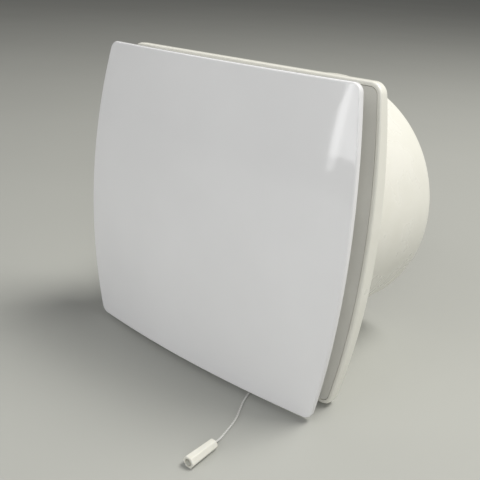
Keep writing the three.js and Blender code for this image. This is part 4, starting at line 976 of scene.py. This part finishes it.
def make_stator():
    """The motor's C-frame: stacked sheets with a round bore and two shading slots."""
    stack = block((-STACK_HALF, STACK_FRONT, -STACK_BOTTOM), (STACK_HALF, STACK_BACK, STACK_TOP))
    with editing(stack):
        choose(stack, "edges", lambda edge: edge.verts[0].co.z > STACK_TOP - 1 and is_along_duct(edge))
        bpy.ops.mesh.bevel(offset=4, segments=8, affect="EDGES")
    leg, wide = LIMB_WIDTH / 2 + SEAT, SHADING_SLOT_HALF_WIDTH
    front, back = STACK_FRONT - 1, STACK_BACK + 1
    window = block((-leg, front, -STACK_BOTTOM - 1), (leg, back, -WINDOW_TOP))
    bore = drill(STATOR_BORE, STACK_FRONT, STACK_BACK, sides=96)
    cut_away(stack, window, bore, *bolt_holes(STACK_FRONT, STACK_BACK))
    for turn in (45, 225):
        slot = block((-wide, front, STATOR_BORE - 1), (wide, back, STATOR_BORE + SHADING_SLOT_DEPTH))
        slot.data.transform(about_duct(turn))
        cut_away(stack, slot)
    bevel_edges(stack, 0.15, 1)
    finish_piece(stack, "punched_stack", "housing", "laminated_steel", "stator_stack")


def make_rotor():
    """The rotor: a laminated drum between two cast end rings."""
    overhang, end_ring, chamfer = 1, 2.5, 0.4
    outer, bore = STATOR_BORE - AIR_GAP, SHAFT_RADIUS + SEAT
    ring = outer - 1.2
    half = [(bore, 0), (ring - chamfer, 0), (ring, chamfer), (ring, end_ring), (outer, end_ring)]
    drum = turned(both_ends(half, STACK_FRONT - overhang, STACK_BACK + overhang), 72)
    finish_piece(drum, "cage_rotor", "impeller_group", "laminated_steel", "rotor")


def make_clip():
    """The push-on clip: a spring-steel washer with four slits round its bore."""
    outer, thickness, slit_half, slit_reach = 4.6, 1, 0.4, SHAFT_RADIUS + 1.2
    back = HUB_FRONT - SEAT
    front = back - thickness
    washer = rod(outer, front, back, sides=48)
    cut_away(washer, drill(SHAFT_RADIUS + SEAT, front, back, sides=48))
    for turn in range(0, 360, 90):
        slit = block((-slit_half, front - 1, 0), (slit_half, back + 1, slit_reach))
        slit.data.transform(about_duct(turn))
        cut_away(washer, slit)
    bevel_edges(washer, 0.12)
    finish_piece(washer, "spring_clip", "impeller_group", "ground_steel", "impeller_clip")


def hexagon(radius, front, back, x):
    """A six-sided bar whose corners are turned down at both ends."""
    made = rod(radius, front, back, x, sides=6)
    turned_down = radius * (1 - math.cos(math.pi / 6))
    cut_away(made, bar(radius, front, back, turned_down, x=x), operation="INTERSECT")
    return made


def threaded(radius, front, back, x, pitch=0.5):
    """A screw's shank with a ridge for each turn of its thread."""
    core, lead = radius * 0.86, 0.2
    ridges = int((back - front - 2 * lead) / pitch)
    profile = [(0, front), (radius * 0.8, front)]
    for i in range(ridges):
        start = front + lead + pitch * i
        profile += [(core, start), (radius, start + pitch * 0.5)]
    profile += [(core, front + lead + pitch * ridges), (core, back), (0, back)]
    return turned(profile, 24, closed=False, x=x)


def make_motor_fasteners():
    """The two bolts that clamp the motor to its mount, with their nuts."""
    head_front, back = REAR_BRACKET_END + SEAT, MOUNT_FRONT - SEAT
    front = back - MOTOR_NUT_LENGTH
    for x, hand in ((-MOTOR_SCREW_X, "left"), (MOTOR_SCREW_X, "right")):
        bolt = hexagon(MOTOR_SCREW_HEAD_RADIUS, head_front, head_front + MOTOR_SCREW_HEAD_HEIGHT, x)
        unite(bolt, threaded(MOTOR_SCREW_RADIUS, front, head_front + 0.5, x))
        finish_piece(bolt, f"plated_bolt_{hand}", "housing", "zinc_plate", f"motor_screw_{hand}")
        nut = hexagon(MOTOR_NUT_RADIUS, front, back, x)
        cut_away(nut, drill(MOTOR_SCREW_RADIUS + SEAT, front, back, x))
        finish_piece(nut, f"plated_nut_{hand}", "housing", "zinc_plate", f"motor_nut_{hand}")


# Wiring and pull switch

def make_terminal_block():
    """The terminal block: a base with a tower and a screw well for each pole, and its clamp screws."""
    base = block((-BOX_OUTER, TERMINAL_BASE, -BOX_BOTTOM), (-BOX_INNER, BOX_BACK, -BOX_TOP))
    cut_away(base, drill(SCREW_RADIUS + SEAT, TERMINAL_BASE, BOX_BACK, -FIXING_X, -BOX_MIDDLE))
    bevel_edges(base, 0.4, 3)
    half = (TERMINAL_PITCH - TERMINAL_TOWER_GAP) / 2
    poles = [-BOX_INNER - TERMINAL_INSET - TERMINAL_PITCH * (i + 0.5) for i in range(TERMINAL_POLES)]

    def tower(x):
        low = (x - half, TERMINAL_FRONT, 1 - BOX_BOTTOM)
        made = block(low, (x + half, TERMINAL_BASE + 0.5, -BOX_TOP - 1))
        bevel_edges(made, 0.25)
        cut_away(made, cutter(TERMINAL_WELL_RADIUS, TERMINAL_FRONT - 1, TERMINAL_WELL, x, -BOX_MIDDLE))
        return made

    unite(base, *[tower(x) for x in poles])
    finish_piece(base, "terminal_base", "housing", "grey_nylon", "terminal_block")
    top = TERMINAL_FRONT + TERMINAL_SCREW_SINK
    for number, x in enumerate(poles, 1):
        screw = rod(TERMINAL_WELL_RADIUS - SEAT / 2, top, TERMINAL_WELL - SEAT, x, -BOX_MIDDLE)
        slot_low, slot_high = (x - 2, top - 1, -BOX_MIDDLE - 0.2), (x + 2, top + 0.5, -BOX_MIDDLE + 0.2)
        cut_away(screw, block(slot_low, slot_high))
        bevel_edges(screw, 0.08)
        finish_piece(screw, f"clamp_screw_{number}", "housing", "zinc_plate", f"terminal_screw_{number}")


def make_fixing_screws():
    tip = PLATE + FIXING_PILOT_DEPTH - SEAT
    places = (-FIXING_X, TERMINAL_BASE, "terminal"), (FIXING_X, SWITCH_WELL, "switch")
    for x, seat, held in places:
        name = f"{held}_fixing_screw"
        screw = pan_screw(FIXING_HEAD_RADIUS, FIXING_HEAD_HEIGHT, seat - SEAT, tip)
        screw.data.transform(Matrix.Translation((x, 0, -BOX_MIDDLE)))
        finish_piece(screw, f"plated_{name}", "housing", "zinc_plate", name)


def make_grommet():
    """The grommet: a rubber cup with a thin floor, to be pierced by the supply cable."""
    neck, edge = GROMMET_RADIUS - SEAT, 0.35
    inside, rim = neck - GROMMET_WALL, neck + GROMMET_FLANGE
    floor, lip, seat, end = PLATE + 0.8, PLATE - SEAT - GROMMET_WALL, PLATE - SEAT, WALL_PLANE - SEAT
    profile = [
        (0, floor), (inside, floor), (inside, lip + edge), (inside + edge, lip),
        (rim - edge, lip), (rim, lip + edge), (rim, seat - edge), (rim - edge, seat),
        (neck, seat), (neck, end - edge), (neck - edge, end), (0, end),
    ]
    made = turned(profile, closed=False, x=GROMMET_X, z=GROMMET_Z)
    finish_piece(made, "rubber_grommet", "housing", "black_rubber", "cable_grommet")


def make_switch():
    """The pull switch's housing with the slot that its lever swings in, and the lever's pin."""
    housing = block((BOX_INNER, SWITCH_FRONT, -BOX_BOTTOM), (BOX_OUTER, BOX_BACK, -BOX_TOP))
    bevel_edges(housing, 0.5, 3)
    slot_front, slot_back = [LEVER_Y + way * (LEVER_THICKNESS / 2 + SEAT) for way in (-1, 1)]
    slot = block(
        (BOX_INNER - 1, slot_front, LEVER_Z - LEVER_SLOT_BELOW),
        (LEVER_PIVOT + LEVER_EYE_RADIUS + 0.5, slot_back, LEVER_Z + LEVER_SLOT_ABOVE),
    )
    well = cutter(FIXING_HEAD_RADIUS + SEAT, SWITCH_FRONT - 1, SWITCH_WELL, FIXING_X, -BOX_MIDDLE)
    hole = drill(SCREW_RADIUS + SEAT, SWITCH_FRONT, BOX_BACK, FIXING_X, -BOX_MIDDLE)
    front, back = slot_front - LEVER_PIN_FRONT, slot_back + LEVER_PIN_BACK
    pin_hole = cutter(LEVER_PIN_RADIUS + SEAT, front - SEAT, back + SEAT, LEVER_PIVOT, LEVER_Z)
    cut_away(housing, slot, well, hole, pin_hole)
    finish_piece(housing, "switch_housing", "housing", "black_nylon", "switch_body")
    pin = rod(LEVER_PIN_RADIUS, front, back, LEVER_PIVOT, LEVER_Z)
    bevel_edges(pin, 0.15)
    finish_piece(pin, "steel_pin", "housing", "ground_steel", "lever_pin")


def make_lever():
    """The lever: a small arm with an eye on its pin and a fork for the cord."""
    tip, tall, fork = CORD_X - LEVER_TIP_LENGTH, LEVER_HALF_HEIGHT, CORD_DIAMETER / 2 + LEVER_FORK_CLEARANCE
    front, back = LEVER_Y - LEVER_THICKNESS / 2, LEVER_Y + LEVER_THICKNESS / 2
    arm = block((tip, front, LEVER_Z - tall), (LEVER_PIVOT, back, LEVER_Z + tall))
    cut_away(arm, block((tip - 1, LEVER_Y - fork, LEVER_Z - 2), (CORD_X + fork, LEVER_Y + fork, LEVER_Z + 2)))
    eye = rod(LEVER_EYE_RADIUS, front, back, LEVER_PIVOT, LEVER_Z)
    for made in (arm, eye):
        cut_away(made, drill(LEVER_PIN_RADIUS + 0.1, front, back, LEVER_PIVOT, LEVER_Z))
        bevel_edges(made, 0.15)
    unite(arm, eye)
    finish_piece(arm, "forked_lever", "lever", "grey_nylon", "switch_lever")


def upright(piece, height):
    """Turns a shape spun about the duct's axis to stand at the cord's exit, its start at a height."""
    turn = Matrix.Rotation(QUARTER, 4, "X")
    piece.data.transform(Matrix.Translation((CORD_X, LEVER_Y, height)) @ turn)
    return piece


def make_eyelet():
    """The eyelet: a smooth bush with a flared mouth, so that the cord doesn't chafe."""
    flange = EYELET_RADIUS + EYELET_FLANGE_WIDTH
    end = EYELET_FLANGE + SEAT + FRAME_WALL + EYELET_TAIL
    flare = 0.5
    profile = arc(EYELET_BORE + flare, flare, flare, math.pi, math.pi + QUARTER, 4) + [
        (flange - 0.25, 0), (flange, 0.25), (flange, EYELET_FLANGE - 0.1), (flange - 0.1, EYELET_FLANGE),
        (EYELET_RADIUS, EYELET_FLANGE), (EYELET_RADIUS, end - 0.2), (EYELET_RADIUS - 0.2, end),
        (EYELET_BORE + 0.2, end), (EYELET_BORE, end - 0.2),
    ]
    made = upright(turned(profile), EYELET_MOUTH)
    finish_piece(made, "flared_eyelet", "housing", "bell_plastic", "cord_eyelet")


def make_switch_cord():
    """The cord's straight run and its knot on the lever's fork. It ends inside the eyelet, as far up
    as the cord's travel, so that it never shows below."""
    knot_height = LEVER_Z + LEVER_HALF_HEIGHT + SEAT + SWITCH_KNOT_RADIUS
    start = EYELET_MOUTH + CORD_TRAVEL + 0.1
    profile = both_ends([(0, 0), (CORD_DIAMETER / 2, 0)], 0, knot_height - start)
    run = upright(turned(profile, CORD_SIDES, closed=False), start)
    unite(run, knot(SWITCH_KNOT_RADIUS, (CORD_X, LEVER_Y, knot_height)))
    finish_piece(run, "braided_run", "cord_run", "braided_cord", "switch_cord")


# Cord and bell

def catmull_rom(route, per_span):
    """Points on a smooth curve through the route."""
    points = [Vector(point) for point in route]
    ends = [points[0] * 2 - points[1], *points, points[-1] * 2 - points[-2]]
    smooth = []
    for a, b, c, d in zip(ends, ends[1:], ends[2:], ends[3:]):
        for t in [i / per_span for i in range(per_span)]:
            square, cube = a * 2 - b * 5 + c * 4 - d, b * 3 - a - c * 3 + d
            smooth.append((b * 2 + (c - a) * t + square * t * t + cube * t**3) / 2)
    return [*smooth, points[-1]]


def map_braid(cord, lengths, sides):
    """Gives the cord its own map: turns round it, and millimetres along it."""
    braid = cord.data.uv_layers.new(name="braid")
    for face in cord.data.polygons:
        steps = [corner % sides for corner in face.vertices]
        wraps = max(steps) - min(steps) > sides / 2
        for loop, corner, step in zip(face.loop_indices, face.vertices, steps):
            turn = (step + sides if wraps and step < sides / 2 else step) / sides
            braid.data[loop].uv = (turn, lengths[corner // sides])


def make_pull_cord():
    """The limp cord, from under its eyelet along the table and into the bell, with its stop knot."""
    path = catmull_rom(CORD_ROUTE, 6)
    rings, lengths, side = [], [0], Vector((1, 0, 0))
    for i, point in enumerate(path):
        ahead = (path[min(i + 1, len(path) - 1)] - path[max(i - 1, 0)]).normalized()
        side = (side - ahead * side.dot(ahead)).normalized()
        up = ahead.cross(side)
        circle_points = arc(0, 0, CORD_DIAMETER / 2, 0, TURN, CORD_SIDES)[:-1]
        rings.append([point + side * u + up * v for u, v in circle_points])
    for a, b in zip(path, path[1:]):
        lengths.append(lengths[-1] + (b - a).length)
    cord = skin(rings, "closed")
    stop_knot = knot(STOP_KNOT_RADIUS, path[-1])
    finish_piece(stop_knot, "stop_knot", "pull", "braided_cord", place=TABLE_PLACE)
    dress(cord, "braided_cord", "braided_cord", TABLE_PLACE, 60)
    map_braid(cord, lengths, CORD_SIDES)
    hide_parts("pull_cord")
    return cord, stop_knot, path, lengths[-1]


def bell_section(flats, y, lift=0.0):
    """Six flats with rounded corners, standing on one of them."""
    apothem = flats / 2
    to_corner = (apothem - BELL_CORNER) / math.cos(math.pi / 6)
    points = []
    for middle in [side * math.pi / 3 for side in range(6)]:
        centre = to_corner * math.cos(middle), to_corner * math.sin(middle)
        corner = arc(*centre, BELL_CORNER, middle - math.pi / 6, middle + math.pi / 6, 4)
        points += [Vector((x, y, apothem + lift + z)) for x, z in corner]
    return points


def make_pull_bell():
    """The bell: six rounded flats that widen to an open front, over the cord's knot."""

    def flats(y):
        return BELL_REAR + (BELL_FRONT - BELL_REAR) * -y / BELL_LENGTH

    sections = []
    for along, out in arc(BELL_ROUND, 0, BELL_ROUND, math.pi, QUARTER, 5):
        inward, y = BELL_ROUND - out, -along
        sections.append(bell_section(flats(y) - 2 * inward, y, inward))
    sections.append(bell_section(flats(-BELL_LENGTH), -BELL_LENGTH))
    bell = skin(sections, "closed")
    round_rings(bell, (len(sections) - 1, 0.25, 3))
    bore = cutter(BELL_BORE / 2, -BELL_LENGTH - 1, -BELL_LENGTH + BELL_BORE_DEPTH, z=BELL_FRONT / 2, sides=48)
    hole = cutter(CORD_DIAMETER / 2 + SEAT, -BELL_LENGTH, 1, z=CORD_ROUTE[-2][2], sides=24)
    cut_away(bell, bore, hole)
    place = Matrix.Translation((BELL_REAR_X, BELL_REAR_Y, 0))
    bell.data.transform(place @ Matrix.Rotation(math.radians(BELL_TURN), 4, "Z"))
    return finish_piece(
        bell, "moulded_bell", "pull", "bell_plastic", "pull_bell", place=TABLE_PLACE, smooth_angle=40
    )


# Floor and light

def make_floor():
    floor = add(bpy.ops.mesh.primitive_plane_add, size=14)
    floor.name = "floor"
    painted = mottled("painted_board", "#AFB0AB", "#AAABA6", 400, 0.55, 0.65, 3, 0.02, IOR=1.45)
    floor.data.materials.append(painted)


def area_light(name, place, aim, width, height, power, tone="#FFFFFF"):
    data = bpy.data.lights.new(name, "AREA")
    data.shape = "RECTANGLE"
    data.size, data.size_y = width, height
    data.energy = power
    data.color = colour(tone)[:3]
    lamp = bpy.data.objects.new(name, data)
    bpy.context.scene.collection.objects.link(lamp)
    place, aim = Vector(place), Vector(aim)
    aimed = (aim - place).to_track_quat("-Z", "Y").to_matrix().to_4x4()
    lamp.matrix_world = Matrix.Translation(place) @ aimed


def reflected(name, azimuths, elevations, power):
    """A lamp that the panel's upper right corner mirrors to the camera. It fills a range of degrees round
    that corner, from straight ahead towards the right, and from level upwards."""
    corner, distance = Vector((0.08, -0.07, 0.13)), 1.5
    (left, right), (low, high) = [[math.radians(a) for a in pair] for pair in (azimuths, elevations)]
    azimuth, elevation = (left + right) / 2, (low + high) / 2
    level = math.cos(elevation)
    way = Vector((math.sin(azimuth) * level, -math.cos(azimuth) * level, math.sin(elevation)))
    size = [2 * distance * math.tan(half) for half in ((right - left) / 2, (high - low) / 2)]
    area_light(name, corner + way * distance, corner, *size, power)


def make_light():
    world = bpy.data.worlds.new("studio")
    bpy.context.scene.world = world
    world.use_nodes = True
    tree = world.node_tree
    tree.nodes.clear()
    room = node(tree, "ShaderNodeBackground", {"Color": colour("#DADADA"), "Strength": 0.3})
    # What is seen beyond the floor has the tone of its far end, so that no horizon shows.
    seen = node(tree, "ShaderNodeBackground", {"Color": colour("#555551"), "Strength": 1.0})
    rays = node(tree, "ShaderNodeLightPath").outputs
    looks = rays["Is Camera Ray"]
    for kind in ("Is Glossy Ray", "Is Transmission Ray"):
        looks = node(tree, "ShaderNodeMath", {0: looks, 1: rays[kind]}, operation="ADD").outputs[0]
    backdrop = node(tree, "ShaderNodeMixShader", {0: looks, 1: room.outputs[0], 2: seen.outputs[0]})
    node(tree, "ShaderNodeOutputWorld", {"Surface": backdrop.outputs[0]})
    middle = (0, 0, 0.09)
    area_light("key", (0.55, 0.5, 1.5), middle, 0.7, 0.7, 26, "#FFFDF8")
    area_light("fill", (1.0, -1.3, 0.9), middle, 1.2, 1.2, 10)
    area_light("front", (-0.5, -1.5, 1.3), middle, 1.2, 1.2, 5.5)
    reflected("window", (-18.5, -4), (1.4, 17), 1.6)
    reflected("window_frame", (-18.5, -16.9), (-1, 17), 0.16)


make_camera()
pull_cord, stop_knot, cord_path, cord_length = make_pull_cord()
pull_bell = make_pull_bell()
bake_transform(pull_cord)
make_panel_cover()
make_casing_shell()
make_frame_moulding()
make_frame_screws()
make_impeller_moulding()
make_motor_mount()
make_bracket("cast_front_bracket", STACK_FRONT - SEAT, -1, "front_bracket")
make_bracket("cast_rear_bracket", REAR_BRACKET, 1, "rear_bracket")
make_bearing("front_bush", FRONT_BRACKET, "front_bearing")
make_bearing("rear_bush", REAR_BRACKET_END - BEARING_LENGTH, "rear_bearing")
make_shaft()
make_winding()
make_bobbin()
make_stator()
make_rotor()
make_clip()
make_motor_fasteners()
make_terminal_block()
make_fixing_screws()
make_grommet()
make_switch()
make_lever()
make_eyelet()
make_switch_cord()
for part in frame["record"]["subparts"]:
    carried = frame["nodes"][part["node"]]
    if not carried.hide_render:
        carried.data.materials.clear()
        carried.data.materials.append(FINISH[part["material_slot"]])
make_floor()
make_light()
bpy.context.scene.view_settings.view_transform = "Standard"
